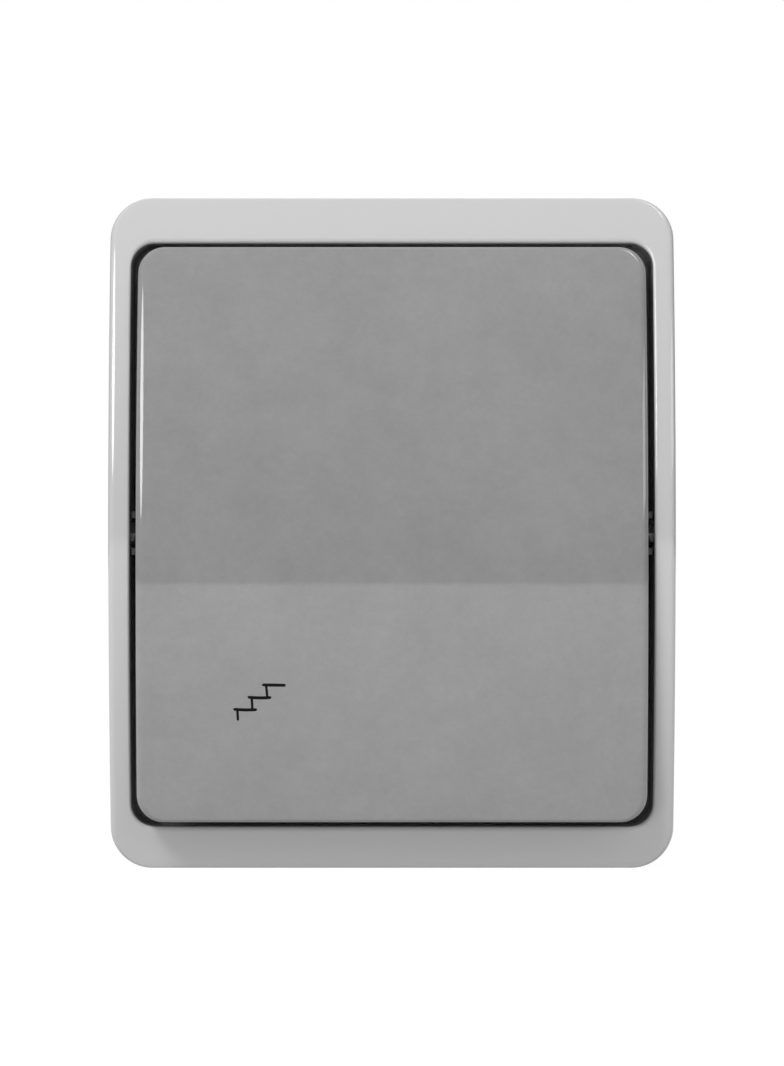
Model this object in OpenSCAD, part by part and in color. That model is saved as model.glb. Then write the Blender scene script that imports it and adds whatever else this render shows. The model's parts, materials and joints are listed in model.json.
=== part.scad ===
// Surface mounted two-way light switch: a back box, an arched cover and one large rocker key.
// X runs to the right, Z up the wall and the front faces -Y, in millimetres.
// The origin is the middle of the back face, the one that goes against the wall.
// Every piece is drawn lying on its back, with x to the right, y up the wall and z out of
// the wall, and on_wall() stands it up. Depths are counted in z from the wall.

/* [Enclosure] */
// Width of the enclosure
body_w = 68; // [66:0.5:76]
// Height of the enclosure
body_h = 81; // [80:0.5:90]
// Radius of the four corners, seen from the front
corner_r = 5; // [4:0.5:7]
// Depth of the back box, up to its joint with the cover
joint_d = 24; // [22:0.25:28]
// Distance from the joint to the underside of the cover's deck
deck_rise = 9; // [8:0.25:11]
// Distance from the deck to the cover's highest line, at mid height
front_rise = 11.2; // [10.8:0.1:13]
// Radius of the arched front, about an axis across the switch
arch_r = 150; // [135:5:200]
// Wall of the back box
box_wall = 2.2; // [2:0.1:2.6]
// Back of the back box
back_t = 2.5; // [2:0.1:3.5]

/* [Cover] */
// Width of the cover's side strips beside the key
side_strip = 2.55; // [2.3:0.05:2.8]
// Height of the strip above the key
top_strip = 5.55; // [5:0.05:7]
// Height of the strip below the key
bottom_strip = 5.05; // [4.8:0.05:7]
// Corner radius of the opening for the key
opening_r = 2.8; // [2:0.1:3.5]
// Rounding of the cover's long front edges
side_round = 0.8; // [0.5:0.05:1.2]
// Rounding of the cover's top and bottom front edges
end_round = 0.6; // [0.4:0.05:1.2]
// Thickness of the skirt that laps over the back box
lap_t = 0.9; // [0.7:0.05:1]
// How far the skirt laps over the back box, with the seal
lap_d = 5; // [4:0.25:5.5]
// Thickness of the deck
deck_t = 1.8; // [1.5:0.1:2]
// Distance of the deck's window from the insert's outline, sideways
window_in_x = 6; // [5:0.25:7]
// Distance of the deck's window from the insert's outline, up and down
window_in_y = 4; // [3.5:0.25:5]

/* [Key] */
// Gap between the key and the cover at the sides
key_gap_side = 0.8; // [0.6:0.05:1]
// Gap between the key and the cover at the top and bottom
key_gap_end = 0.6; // [0.5:0.05:0.9]
// Corner radius of the key
key_r = 3.25; // [2:0.25:4]
// How far the key stands proud of the cover when it is level
key_proud = 2; // [1.5:0.1:2.5]
// Wall of the key
key_wall = 2; // [1.6:0.1:2.4]
// Rounding of the key's front edges
key_round = 1; // [0.6:0.1:1.4]
// Distance from the deck to the key's pivot axis
key_rise = 5.2; // [4.8:0.1:5.6]
// Radius of the key's pivot pins
key_pin_r = 1.5; // [1.2:0.1:1.7]
// How far each pivot pin enters the cover
key_pin_in = 1.5; // [1.2:0.1:1.6]
// Distance of the key's back edge behind its pivot axis
key_skirt = 1.85; // [1.75:0.05:2.2]
// Tilt of the key to each side of level
key_tilt = 2.5; // [1.5:0.1:2.6]
// Distance between the two guide ribs of each pin
guide_pitch = 4.4; // [4:0.1:6]
// Thickness of a guide rib
guide_t = 0.8; // [0.5:0.1:1]
// How far a guide rib stands out from the key's side
guide_proud = 0.5; // [0.3:0.05:0.55]

/* [Symbol] */
// Width of a printed line
line_w = 0.3; // [0.2:0.05:0.6]
// Length of one tread
tread_l = 2.9; // [2:0.1:4]
// Height of one step
step_h = 1.45; // [1:0.05:2.5]
// Sideways distance from one tread to the next
step_w = 1.72; // [1.4:0.05:2.5]
// Overhang of a tread past its riser
nosing = 0.5; // [0.1:0.05:0.9]
// Middle of the sign, left of the key's middle
symbol_x = 15.8; // [8:0.1:20]
// Middle of the sign, below the key's middle
symbol_y = 19.8; // [8:0.1:22]
// Depth of the printed layer in the key
print_t = 0.1; // [0.05:0.05:0.3]

/* [Fixing] */
// Distance between the two wall screws
wall_pitch = 60; // [58:0.5:62]
// Radius of the wall-screw holes
wall_hole_r = 2.25; // [1.8:0.05:2.6]
// Distance of the cable entries' axis in front of the middle of the back box
entry_shift = 0.5; // [0:0.1:1]
// Radius of the cable entries
entry_r = 8; // [6:0.25:8.5]
// Width of a grommet's flange
flange_w = 1.3; // [1:0.1:1.5]
// Radius of the opening in the upper grommet
cable_r = 4.2; // [2.5:0.1:5]
// Radius of the pillars for the cover screws
pillar_r = 3.75; // [3.2:0.05:4.5]
// Distance of a pillar's axis from the side of the enclosure
pillar_in_x = 9; // [8.5:0.25:9.5]
// Distance of a pillar's axis from the end of the enclosure
pillar_in_y = 10.5; // [9:0.25:11]
// Radius of a screw's shank
screw_r = 1.45; // [1.2:0.05:1.6]
// Radius of a screw's head
screw_head_r = 2.8; // [2.4:0.1:3.2]
// Height of a screw's head
screw_head_t = 1.6; // [1.2:0.1:1.8]

/* [Mechanism] */
// Height of the insert
insert_h = 40; // [38:0.5:44]
// Thickness of the insert's body, without its lid
insert_t = 18; // [16:0.25:18.5]
// Wall of the insert
insert_wall = 1.5; // [1.2:0.1:1.8]
// Thickness of the insert's lid
lid_t = 2.2; // [1.8:0.1:2.4]
// Distance from the lid to the cover's deck
lid_room = 4.8; // [4.6:0.1:5.4]
// Radius of the bosses under the insert's ears
ear_r = 3.5; // [3:0.1:4]
// Gap between the insert and those bosses
ear_gap = 1; // [0.5:0.1:2]
// Gap between those bosses and the wall of the box
ear_side = 3.8; // [2:0.1:5]
// Distance from the insert's back to its ears
ear_rise = 12; // [10:0.25:13]
// Distance from the lid to the cradle's axis
cradle_rise = 2.3; // [2.2:0.05:2.4]
// Distance of the drive ribs and the cradle's horns from the middle
drive_y = 11; // [9:0.25:12]
// Radius of the cradle's pins
cradle_pin_r = 1.5; // [1.2:0.1:1.6]
// Outer radius of the cradle's spring tube
tube_r = 3.2; // [3:0.1:3.5]
// Bore of the cradle's spring tube, as a radius
tube_bore_r = 2.15; // [1.9:0.05:2.3]
// Radius of the spring's wire
wire_r = 0.22; // [0.15:0.01:0.25]
// Radius of the plunger's nose
nose_r = 1; // [0.8:0.05:1.1]
// Distance from the insert's back to the fulcrum's axis
fulcrum_rise = 8.2; // [8:0.1:8.5]
// Radius of the fulcrum
fulcrum_r = 1; // [0.8:0.05:1.1]
// Tilt of the contact rocker to each side of level, and the rise of its wings
blade_tilt = 12; // [9:0.5:13]
// Thickness of the contact rocker and the strips
brass_t = 0.8; // [0.6:0.05:1]
// Distance of a moving tip along its wing
tip_y = 9; // [8:0.25:10]
// Radius of the contact tips
tip_r = 1.6; // [1.2:0.1:2]
// Height of the contact tips
tip_t = 1; // [0.7:0.1:1.2]
// Width of a terminal's clamp
cage_w = 7; // [6:0.25:8]
// Height of a terminal's clamp
cage_h = 6; // [5:0.25:7]
// Thickness of a terminal's clamp
cage_t = 10; // [9:0.25:11]
// Gap between a clamp and the insert's side wall
cage_gap_x = 1.5; // [1:0.1:2]
// Gap between a clamp and the insert's end wall
cage_gap_y = 3.5; // [2.5:0.1:4]
// Radius of a terminal's hole for the wire
wire_hole_r = 1.8; // [1.5:0.1:2]
// Radius of a terminal's screw
terminal_screw_r = 1.5; // [1.2:0.05:1.7]
// Radius of that screw's head
terminal_head_r = 2.3; // [2:0.05:2.5]
// Height of that screw's head
terminal_head_t = 1.8; // [1.4:0.1:2]

/* [Hidden] */
$fn = 96;
arch_fn = 720;

housing_grey = "#c9c9c9";
key_grey = "#959595";
insert_grey = "#4a4c50";
brass = "#c9a04a";
silver = "#d0d3d6";
steel = "#b4b6ba";
rubber = "#8c8c8c";
ink = "#141414";

// Clearances: a sliding lap, a running fit, a cut that goes clean through a face, and a hair
// that keeps two faces from lying in one place.
lap_gap = 0.1;
fit = 0.05;
cut = 1;
hair = 0.01;

// Cover and opening.
opening_w = body_w - 2 * side_strip;
opening_h = body_h - top_strip - bottom_strip;
opening_y = (bottom_strip - top_strip) / 2;
cover_wall = side_strip;
deck_d = joint_d + deck_rise;
deck_top = deck_d + deck_t;
front_d = deck_top + front_rise;
seal_t = 1;
tongue_top = joint_d + lap_d - seal_t;
strip_core_wall = 1.6;
strip_core_top = 5;
strip_core_in = 5;
pillar_x = body_w / 2 - pillar_in_x;
pillar_y = body_h / 2 - pillar_in_y;
pilot_d = 13;

// Key. Its back edge swings clear of the deck and of the cover's screws.
key_w = opening_w - 2 * key_gap_side;
key_h = opening_h - 2 * key_gap_end;
key_crest = front_d + key_proud;
key_axis_d = deck_top + key_rise;
key_back = key_axis_d - key_skirt;
guide_back = 0.4;
drive_t = 1.6;
drive_w = 12;
horn_gap = 0.2;

// Cable entries.
entry_d = joint_d / 2 + entry_shift;
flange_t = 1;
collar_r = wall_hole_r + 2.25;
collar_t = 1.5;

// Insert. It hangs from the cover's deck through its seal, and its ears stand on bosses.
insert_w = body_w - 2 * (box_wall + ear_side + 2 * ear_r + ear_gap);
ear_x = insert_w / 2 + ear_gap + ear_r;
lid_top = deck_d - lid_room;
insert_joint_d = lid_top - lid_t;
insert_back_d = insert_joint_d - insert_t;
ear_d = insert_back_d + ear_rise;
ear_t = 2;
insert_floor = insert_back_d + insert_wall;
window_w = insert_w - 2 * window_in_x;
window_h = insert_h - 2 * window_in_y;
rim_top = deck_d - seal_t;
rim_t = 1.2;
insert_r = 2;
insert_seal_w = 2.2;
lid_lap = 1.5;
cradle_axis_d = lid_top + cradle_rise;
horn_top = (key_axis_d + cradle_axis_d) / 2 + 0.25;
post_x = 9;
post_t = 2.5;
post_top = cradle_axis_d + cradle_pin_r + 0.8;
tube_window = 4.4;

// Cradle, spring and plunger, drawn level. The plunger's nose stands over the valley of the
// contact rocker, which is valley_h in front of the fulcrum.
valley_h = 2.5;
tip_gap = 0.1;
tube_end = cradle_axis_d - 8.5;
tube_top = cradle_axis_d + 0.5;
bar_t = 2.2;
bar_x = 3;
shoulder_back = tube_end + 0.3;
shoulder_t = 1.1;
spigot_r = tube_bore_r - 2 * wire_r - 0.5;
spigot_l = 2.6;
fulcrum_d = insert_back_d + fulcrum_rise;
nose_end = fulcrum_d + valley_h + tip_gap;
spring_turns = 6;
coil_r = tube_bore_r - wire_r - 0.12;

// Contact rocker. Its wings rise from the valley, so that a wing lies level when its tip
// touches.
wing_l = tip_y + tip_r + 0.2;
blade_x = 2.5;
socket_y = 2;
socket_h = 0.2;
wing_under = fulcrum_d + valley_h * cos(blade_tilt) - brass_t;
fixed_tip_y = tip_y + valley_h * sin(blade_tilt);
strip_top = wing_under - 2 * tip_t - tip_gap;
strip_y = 2.2;

// Terminals. Each strip ends in a tab against the inner side of its clamp.
terminal_x = insert_w / 2 - insert_wall - cage_gap_x - cage_w / 2;
terminal_y = insert_h / 2 - insert_wall - cage_gap_y - cage_h / 2;
tab_x = terminal_x - cage_w / 2;
tab_h = cage_h - 1;
wire_axis_d = insert_floor + 2 * wire_hole_r;
terminal_lift = 1.4;
driver_gap = 0.3;
terminals = [[-1, 1], [1, 1], [1, -1]];

// Stands a piece up: it is drawn with z out of the wall, which is -Y on the wall.
module on_wall() {
    rotate([90, 0, 0]) children();
}

// Turns what follows the key about a line across the switch at the given depth.
module turned(angle, depth) {
    translate([0, 0, depth]) rotate([angle, 0, 0]) translate([0, 0, -depth]) children();
}

// A rounded rectangle of width w, height h and corner radius r.
module rounded(w, h, r) {
    square([w, h - 2 * r], center = true);
    square([w - 2 * r, h], center = true);
    for (x = [-1, 1], y = [-1, 1])
        translate([x * (w / 2 - r), y * (h / 2 - r)]) circle(r);
}

// A rounded plate from depth z0 to depth z1.
module slab(w, h, r, z0, z1) {
    translate([0, 0, z0]) linear_extrude(z1 - z0) rounded(w, h, r);
}

// A plain block, centred sideways and in height, from depth z0 to depth z1.
module block(w, h, z0, z1) {
    translate([-w / 2, -h / 2, z0]) cube([w, h, z1 - z0]);
}

// A round pin along z from depth z0 to depth z1.
module post(r, z0, z1) {
    translate([0, 0, z0]) cylinder(r = r, h = z1 - z0);
}

// A round pin across the switch, from x0 to x1 at the given depth.
module cross_pin(r, x0, x1, depth) {
    translate([x0, 0, depth]) rotate([0, 90, 0]) cylinder(r = r, h = x1 - x0);
}

// Section of an arched slab of width w, from its back up to its rounded front edges.
module arch_section(w, r, depth) {
    translate([arch_r - depth, -w / 2]) square([depth - r, w]);
    translate([arch_r - depth, -w / 2 + r]) square([depth, w - 2 * r]);
    for (s = [-1, 1]) translate([arch_r - r, s * (w / 2 - r)]) circle(r);
}

// That section swept about the axis of the arch, so that the front bows up and down.
module arch_sweep(w, h, r, crest, back) {
    half = asin(h / 2 / arch_r) + 3;
    translate([0, 0, crest - arch_r]) rotate([0, -90, 0])
        rotate_extrude(angle = 2 * half, start = -half, $fn = arch_fn) arch_section(w, r, crest - back + 1);
}

// Points of the rounding at one end of an arched slab. It touches the end face at half
// height h and the arch, so its middle is r inside both.
function end_arc(h, r, crest, steps = 6) =
    let (inner = arch_r - r, t = asin((h - r) / inner), z = crest - arch_r + inner * cos(t))
    [for (i = [0:steps]) let (a = i / steps * (90 - t)) [h - r + r * cos(a), z + r * sin(a)]];

// Side view of an arched slab: straight ends, rounded into the arch.
module end_profile(w, h, r, crest, back) {
    arc = end_arc(h / 2, r, crest);
    n = len(arc) - 1;
    rotate([90, 0, 90]) linear_extrude(w, center = true) polygon(concat(
        [[h / 2, back]], arc, [[0, crest + h / 4]],
        [for (i = [n:-1:0]) [-arc[i][0], arc[i][1]]], [[-h / 2, back]]
    ));
}

// An arched slab: plan corners, front edges and end edges are all rounded.
module arched_slab(w, h, plan_r, side_r, end_r, crest, back) {
    intersection() {
        slab(w, h, plan_r, back, crest + 1);
        arch_sweep(w, h, side_r, crest, back);
        end_profile(w + 2, h, end_r, crest, back - 1);
    }
}

// A pan-head screw with a cross recess, standing on depth seat with its shank l long.
module screw(seat, l, r, head_r, head_t) {
    recess_t = head_t * 0.6;
    top = seat + head_t;
    difference() {
        union() {
            post(head_r, seat, top);
            post(r, seat - l, seat);
        }
        for (a = [0, 90])
            rotate([0, 0, a]) block(head_r * 1.1, head_r * 0.25, top - recess_t, top + cut);
    }
}

// The back box, with a tongue inside its rim that the cover laps over.
module base_box() {
    tongue = lap_t + lap_gap;
    color(housing_grey) on_wall() difference() {
        union() {
            difference() {
                union() {
                    slab(body_w, body_h, corner_r, 0, joint_d);
                    slab(body_w - 2 * tongue, body_h - 2 * tongue, corner_r - tongue, back_t, tongue_top);
                }
                slab(body_w - 2 * box_wall, body_h - 2 * box_wall, corner_r - box_wall, back_t, front_d);
            }
            for (s = [-1, 1]) {
                translate([-s * pillar_x, s * pillar_y, 0]) post(pillar_r, back_t - 0.5, deck_d - lap_gap);
                translate([s * ear_x, 0, 0]) post(ear_r, back_t - 0.5, ear_d);
                translate([0, s * wall_pitch / 2, 0]) post(collar_r, back_t - 0.5, back_t + collar_t);
            }
        }
        for (s = [-1, 1]) {
            translate([-s * pillar_x, s * pillar_y, 0]) post(screw_r + fit, deck_d - pilot_d, front_d);
            translate([s * ear_x, 0, 0]) post(screw_r + fit, ear_d - pilot_d, front_d);
            translate([0, s * wall_pitch / 2, 0]) post(wall_hole_r, -cut, front_d);
            entry_cut(s);
        }
    }
}

// The hole and the shallow recess of one cable entry, at the top (1) or the bottom (-1).
module entry_cut(s) {
    at_entry(s) post(entry_r, -body_h / 4, cut);
    at_entry(s) post(entry_r + flange_w, -flange_t, cut);
}

// Puts the outer face of a cable entry at depth 0 of what is drawn.
module at_entry(s) {
    translate([0, s * body_h / 2, entry_d]) rotate([-s * 90, 0, 0]) children();
}

// Rubber grommet with a flange on both sides of the wall, flush outside.
module grommet(s) {
    neck_r = entry_r - fit;
    inner_r = entry_r + 0.9;
    at_entry(s) {
        post(entry_r + flange_w - fit, -flange_t, 0);
        post(neck_r, -box_wall - flange_t, 0);
        post(inner_r, -box_wall - flange_t, -box_wall);
    }
}

module cable_grommet_top() {
    color(rubber) on_wall() difference() {
        grommet(1);
        at_entry(1) post(cable_r, -body_h / 4, cut);
    }
}

// The lower grommet keeps its membrane, which a cable would pierce.
module cable_grommet_bottom() {
    membrane = 0.8;
    color(rubber) on_wall() difference() {
        grommet(-1);
        at_entry(-1) post(entry_r - 1.5, -body_h / 4, -membrane);
    }
}

// Flat seal on the tongue, under the shoulder of the cover.
module box_seal() {
    tongue = lap_t + lap_gap;
    color(rubber) on_wall() difference() {
        slab(body_w - 2 * tongue, body_h - 2 * tongue, corner_r - tongue, tongue_top, tongue_top + seal_t);
        slab(body_w - 2 * box_wall, body_h - 2 * box_wall, corner_r - box_wall, tongue_top - cut, front_d);
    }
}

// The arched cover with its deck, the opening for the key and the two pivot bores.
module cover_frame() {
    core_l = opening_w - 2 * strip_core_in;
    top_core = top_strip - 2 * strip_core_wall;
    bottom_core = bottom_strip - 2 * strip_core_wall;
    color(housing_grey) on_wall() difference() {
        arched_slab(body_w, body_h, corner_r, side_round, end_round, front_d, joint_d);
        slab(body_w - 2 * lap_t, body_h - 2 * lap_t, corner_r - lap_t, joint_d - cut, tongue_top + seal_t);
        slab(body_w - 2 * cover_wall, body_h - 2 * cover_wall, corner_r - cover_wall, joint_d - cut, deck_d);
        translate([0, opening_y, 0]) slab(opening_w, opening_h, opening_r, deck_top, front_d + cut);
        block(window_w, window_h, deck_d - cut, deck_top + cut);
        translate([0, body_h / 2 - strip_core_wall - top_core / 2, 0])
            block(core_l, top_core, deck_d - cut, deck_d + strip_core_top);
        translate([0, -body_h / 2 + strip_core_wall + bottom_core / 2, 0])
            block(core_l, bottom_core, deck_d - cut, deck_d + strip_core_top);
        for (s = [-1, 1]) translate([-s * pillar_x, s * pillar_y, 0])
            post(screw_r + 0.25, deck_d - cut, deck_top + cut);
        for (s = [0, 1]) mirror([s, 0, 0])
            cross_pin(key_pin_r + fit, opening_w / 2 - cut, opening_w / 2 + key_pin_in + lap_gap, key_axis_d);
    }
}

// Screws of the cover, upper (1) left and lower (-1) right.
module cover_screw(s) {
    color(steel) on_wall() translate([-s * pillar_x, s * pillar_y, 0])
        screw(deck_top, deck_t + pilot_d - 2, screw_r, screw_head_r, screw_head_t);
}

module cover_screw_upper() cover_screw(1);
module cover_screw_lower() cover_screw(-1);

// Insulating body of the insert, open to the front, with ears on the box's bosses.
module insert_body() {
    ear_w = 2 * ear_r + 1;
    wall_2 = 2 * insert_wall;
    color(insert_grey) on_wall() difference() {
        union() {
            difference() {
                slab(insert_w, insert_h, insert_r, insert_back_d, insert_joint_d);
                slab(insert_w - wall_2, insert_h - wall_2, insert_r - 1, insert_floor, insert_joint_d + cut);
            }
            for (s = [0, 1]) mirror([s, 0, 0]) {
                translate([(insert_w / 2 - 0.5 + ear_x) / 2, 0, 0])
                    block(ear_x - insert_w / 2 + 0.5, ear_w, ear_d, ear_d + ear_t);
                translate([ear_x, 0, 0]) post(ear_r + 0.5, ear_d, ear_d + ear_t);
            }
            for (s = [-1, 1]) translate([0, s * fixed_tip_y, 0])
                block(2 * strip_y, 2 * strip_y, insert_floor - 0.5, strip_top - brass_t);
        }
        for (s = [-1, 1]) translate([s * ear_x, 0, 0]) post(screw_r + 0.25, ear_d - cut, ear_d + ear_t + cut);
        for (t = terminals) translate([t[0] * terminal_x, t[1] * insert_h / 2, wire_axis_d])
            rotate([90, 0, 0]) cylinder(r = wire_hole_r + 0.2, h = 2 * wall_2, center = true);
    }
}

// Lid of the insert: a window for the spring tube, two bearing posts, a rim for the seal.
module insert_cover() {
    lap_w = insert_w - 2 * (insert_wall + lap_gap);
    lap_h = insert_h - 2 * (insert_wall + lap_gap);
    rim_2 = 2 * rim_t;
    color(insert_grey) on_wall() difference() {
        union() {
            slab(insert_w, insert_h, insert_r, insert_joint_d, lid_top);
            slab(lap_w, lap_h, insert_r - 1 - lap_gap, insert_joint_d - lid_lap, insert_joint_d + 0.5);
            difference() {
                slab(insert_w, insert_h, insert_r, lid_top - 0.5, rim_top);
                slab(insert_w - rim_2, insert_h - rim_2, insert_r - rim_t, lid_top - cut, rim_top + cut);
            }
            for (s = [-1, 1]) translate([s * (post_x + post_t / 2), 0, 0])
                block(post_t, 4 * cradle_pin_r, lid_top - 0.5, post_top);
        }
        slab(lap_w - rim_2, lap_h - rim_2, 0.5, insert_joint_d - lid_lap - cut, insert_joint_d);
        block(2 * tube_window, 2 * tube_window, insert_joint_d - cut, lid_top + cut);
        for (t = terminals) translate([t[0] * terminal_x, t[1] * terminal_y, 0])
            post(terminal_head_r + driver_gap, insert_joint_d - cut, lid_top + cut);
        cross_pin(cradle_pin_r + fit, -post_x - post_t - cut, post_x + post_t + cut, cradle_axis_d);
    }
}

// Seal between the lid's rim and the cover's deck.
module insert_seal() {
    seal_2 = 2 * insert_seal_w;
    color(rubber) on_wall() difference() {
        slab(insert_w, insert_h, insert_r, rim_top, rim_top + seal_t);
        slab(insert_w - seal_2, insert_h - seal_2, insert_r - 1, rim_top - cut, deck_top);
    }
}

// Screws of the insert, left (-1) and right (1).
module insert_screw(s) {
    color(steel) on_wall() translate([s * ear_x, 0, 0])
        screw(ear_d + ear_t, ear_t + pilot_d - 3, screw_r, screw_head_r, screw_head_t);
}

module insert_screw_left() insert_screw(-1);
module insert_screw_right() insert_screw(1);

// Brass strip on the insert's floor, from the common terminal to the fulcrum's post.
module common_strip() {
    run_gap = 1.2;
    color(brass) on_wall() {
        translate([-tab_x, -strip_y, insert_floor])
            cube([tab_x - strip_y - run_gap, terminal_y + tab_h / 2 + strip_y, brass_t]);
        translate([-tab_x, -strip_y, insert_floor]) cube([tab_x + blade_x, 2 * strip_y, brass_t]);
        translate([-tab_x, terminal_y - tab_h / 2, insert_floor]) cube([brass_t, tab_h, cage_t - 2]);
        block(2 * blade_x, fulcrum_r, insert_floor, fulcrum_d);
        cross_pin(fulcrum_r, -blade_x, blade_x, fulcrum_d);
    }
}

// Brass strip of one way, upper (1) or lower (-1), from its terminal to the fixed tip.
module contact_strip(s) {
    y0 = min(fixed_tip_y - strip_y, terminal_y - tab_h / 2);
    y1 = max(fixed_tip_y + strip_y, terminal_y + tab_h / 2);
    color(brass) on_wall() mirror([0, s < 0 ? 1 : 0, 0]) {
        translate([-strip_y, fixed_tip_y - strip_y, strip_top - brass_t])
            cube([tab_x + strip_y, 2 * strip_y, brass_t]);
        translate([tab_x - strip_y, y0, strip_top - brass_t]) cube([strip_y, y1 - y0, brass_t]);
        translate([tab_x - brass_t, terminal_y - tab_h / 2, insert_floor])
            cube([brass_t, tab_h, strip_top - insert_floor]);
    }
}

module contact_strip_upper() contact_strip(1);
module contact_strip_lower() contact_strip(-1);

// A domed contact tip, its flat side at depth 0 and its dome at depth tip_t.
module tip() {
    dome_r = 2.5 * tip_r;
    intersection() {
        post(tip_r, 0, tip_t + cut);
        translate([0, 0, tip_t - dome_r]) sphere(dome_r);
    }
}

module fixed_tip(s) {
    color(silver) on_wall() translate([0, s * fixed_tip_y, strip_top]) tip();
}

module fixed_tip_upper() fixed_tip(1);
module fixed_tip_lower() fixed_tip(-1);

// Brass clamp of one terminal, with a hole for the wire and a threaded one for its screw.
module terminal_cage(t) {
    color(brass) on_wall() translate([t[0] * terminal_x, t[1] * terminal_y, 0]) difference() {
        block(cage_w, cage_h, insert_floor, insert_floor + cage_t);
        translate([0, 0, wire_axis_d]) rotate([90, 0, 0])
            cylinder(r = wire_hole_r, h = cage_h + 2 * cut, center = true);
        post(terminal_screw_r + fit, wire_axis_d, insert_floor + cage_t + cut);
    }
}

module terminal_cage_common() terminal_cage(terminals[0]);
module terminal_cage_upper() terminal_cage(terminals[1]);
module terminal_cage_lower() terminal_cage(terminals[2]);

// Clamp screw of one terminal, a little undone and reached through the lid's hole.
module terminal_screw(t) {
    seat = insert_floor + cage_t + terminal_lift;
    slot_w = 0.6;
    color(steel) on_wall() translate([t[0] * terminal_x, t[1] * terminal_y, 0]) difference() {
        union() {
            post(terminal_head_r, seat, seat + terminal_head_t);
            post(terminal_screw_r, wire_axis_d + wire_hole_r + driver_gap, seat);
        }
        block(2 * terminal_head_r + cut, slot_w, seat + terminal_head_t / 2, seat + terminal_head_t + cut);
    }
}

module terminal_screw_common() terminal_screw(terminals[0]);
module terminal_screw_upper() terminal_screw(terminals[1]);
module terminal_screw_lower() terminal_screw(terminals[2]);

// Lines of the stair sign: three treads and the risers under them, going down to the left.
module stair_lines() {
    for (i = [-1:1]) translate([i * step_w - tread_l / 2, i * step_h - line_w / 2]) {
        square([tread_l, line_w]);
        translate([nosing, line_w - step_h]) square([line_w, step_h - line_w]);
    }
}

// The sign's prism through the face of the key.
module stair_prism() {
    depth = 2 * key_wall;
    translate([-symbol_x, opening_y - symbol_y, key_crest - depth])
        linear_extrude(depth) stair_lines();
}

// Space inside an arc that has the key's arch axis, down to the key's back.
module arch_space(r) {
    translate([0, 0, key_crest - arch_r]) rotate([0, 90, 0])
        cylinder(r = r, h = 2 * body_w, center = true, $fn = arch_fn);
}

// The key, drawn level: an arched shell with pivot pins, guide ribs and drive ribs.
module key_level() {
    inner_r = max(key_r - key_wall, 0.5);
    difference() {
        union() {
            difference() {
                translate([0, opening_y, 0]) key_shell();
                intersection() {
                    translate([0, opening_y, 0])
                        slab(key_w - 2 * key_wall, key_h - 2 * key_wall, inner_r, key_back - cut, key_crest);
                    arch_space(arch_r - key_wall);
                }
            }
            for (s = [0, 1]) mirror([s, 0, 0]) {
                cross_pin(key_pin_r, key_w / 2 - key_wall / 2, opening_w / 2 + key_pin_in, key_axis_d);
                for (g = [-1, 1])
                    translate([key_w / 2 - 0.3, (g * guide_pitch - guide_t) / 2, key_back + guide_back])
                        cube([guide_proud + 0.3, guide_t, front_d - key_axis_d - 1]);
            }
            for (s = [-1, 1]) translate([0, s * drive_y, 0]) {
                block(drive_w, drive_t, horn_top + horn_gap + drive_t / 2, key_crest - key_wall - 0.2);
                cross_pin(drive_t / 2, -drive_w / 2, drive_w / 2, horn_top + horn_gap + drive_t / 2);
            }
        }
        difference() {
            stair_prism();
            arch_space(arch_r - print_t);
        }
    }
}

// Outside of the key. Its arch is centred on the switch, and its ends on the opening.
module key_shell() {
    translate([0, -opening_y, 0]) intersection() {
        translate([0, opening_y, 0]) slab(key_w, key_h, key_r, key_back, key_crest + 1);
        arch_sweep(key_w, body_h, key_round, key_crest, key_back);
        translate([0, opening_y, 0])
            end_profile(key_w + 2, key_h, key_round, key_crest + 2 * hair, key_back - 1);
    }
}

module rocker_key() {
    color(key_grey) on_wall() turned(-key_tilt, key_axis_d) key_level();
}

// Printed layer that fills the lines in the key's face.
module stair_symbol() {
    color(ink) on_wall() turned(-key_tilt, key_axis_d) intersection() {
        difference() {
            stair_prism();
            arch_space(arch_r - print_t);
        }
        arch_space(arch_r + hair);
    }
}

// The cradle: a bar with two horns under the key's drive ribs, pins and the spring tube.
module cradle() {
    bar_back = tube_top + 0.2;
    bar_top = bar_back + bar_t;
    bar_y = drive_y + 1;
    color("#dcdcd6") on_wall() turned(-key_tilt, cradle_axis_d) difference() {
        union() {
            post(tube_r, tube_end, bar_top);
            block(2 * bar_x, 2 * bar_y, bar_back, bar_top);
            for (s = [-1, 1]) translate([0, s * drive_y, 0]) block(2 * bar_x, 2, bar_back, horn_top);
            cross_pin(cradle_pin_r, -post_x - post_t + 0.2, post_x + post_t - 0.2, cradle_axis_d);
        }
        post(tube_bore_r, tube_end - cut, tube_top);
    }
}

// The plunger: a nose on the contact rocker, a shoulder in the tube and a spigot in the spring.
module spring_plunger() {
    shoulder_top = shoulder_back + shoulder_t;
    color("#e4e2d8") on_wall() turned(-key_tilt, cradle_axis_d) {
        translate([0, 0, nose_end + nose_r]) sphere(nose_r);
        post(nose_r, nose_end + nose_r, shoulder_back + 0.2);
        post(tube_bore_r - 0.06, shoulder_back, shoulder_top);
        post(spigot_r, shoulder_top - 0.2, shoulder_top + spigot_l);
    }
}

// Point of the spring's centre line at turn t, and a ring of the wire around it.
function coil_at(t, z0, pitch) = [coil_r * cos(360 * t), coil_r * sin(360 * t), z0 + pitch * t];
function wire_ring(t, z0, pitch, sides) =
    let (c = coil_at(t, z0, pitch), slope = atan(pitch / (2 * PI * coil_r)), a = 360 * t)
    [for (k = [0:sides - 1]) let (b = 360 * k / sides, u = wire_r * cos(b), v = wire_r * sin(b)) [
        c[0] + u * cos(a) + v * sin(slope) * sin(a),
        c[1] + u * sin(a) - v * sin(slope) * cos(a),
        c[2] + v * cos(slope)
    ]];

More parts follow.
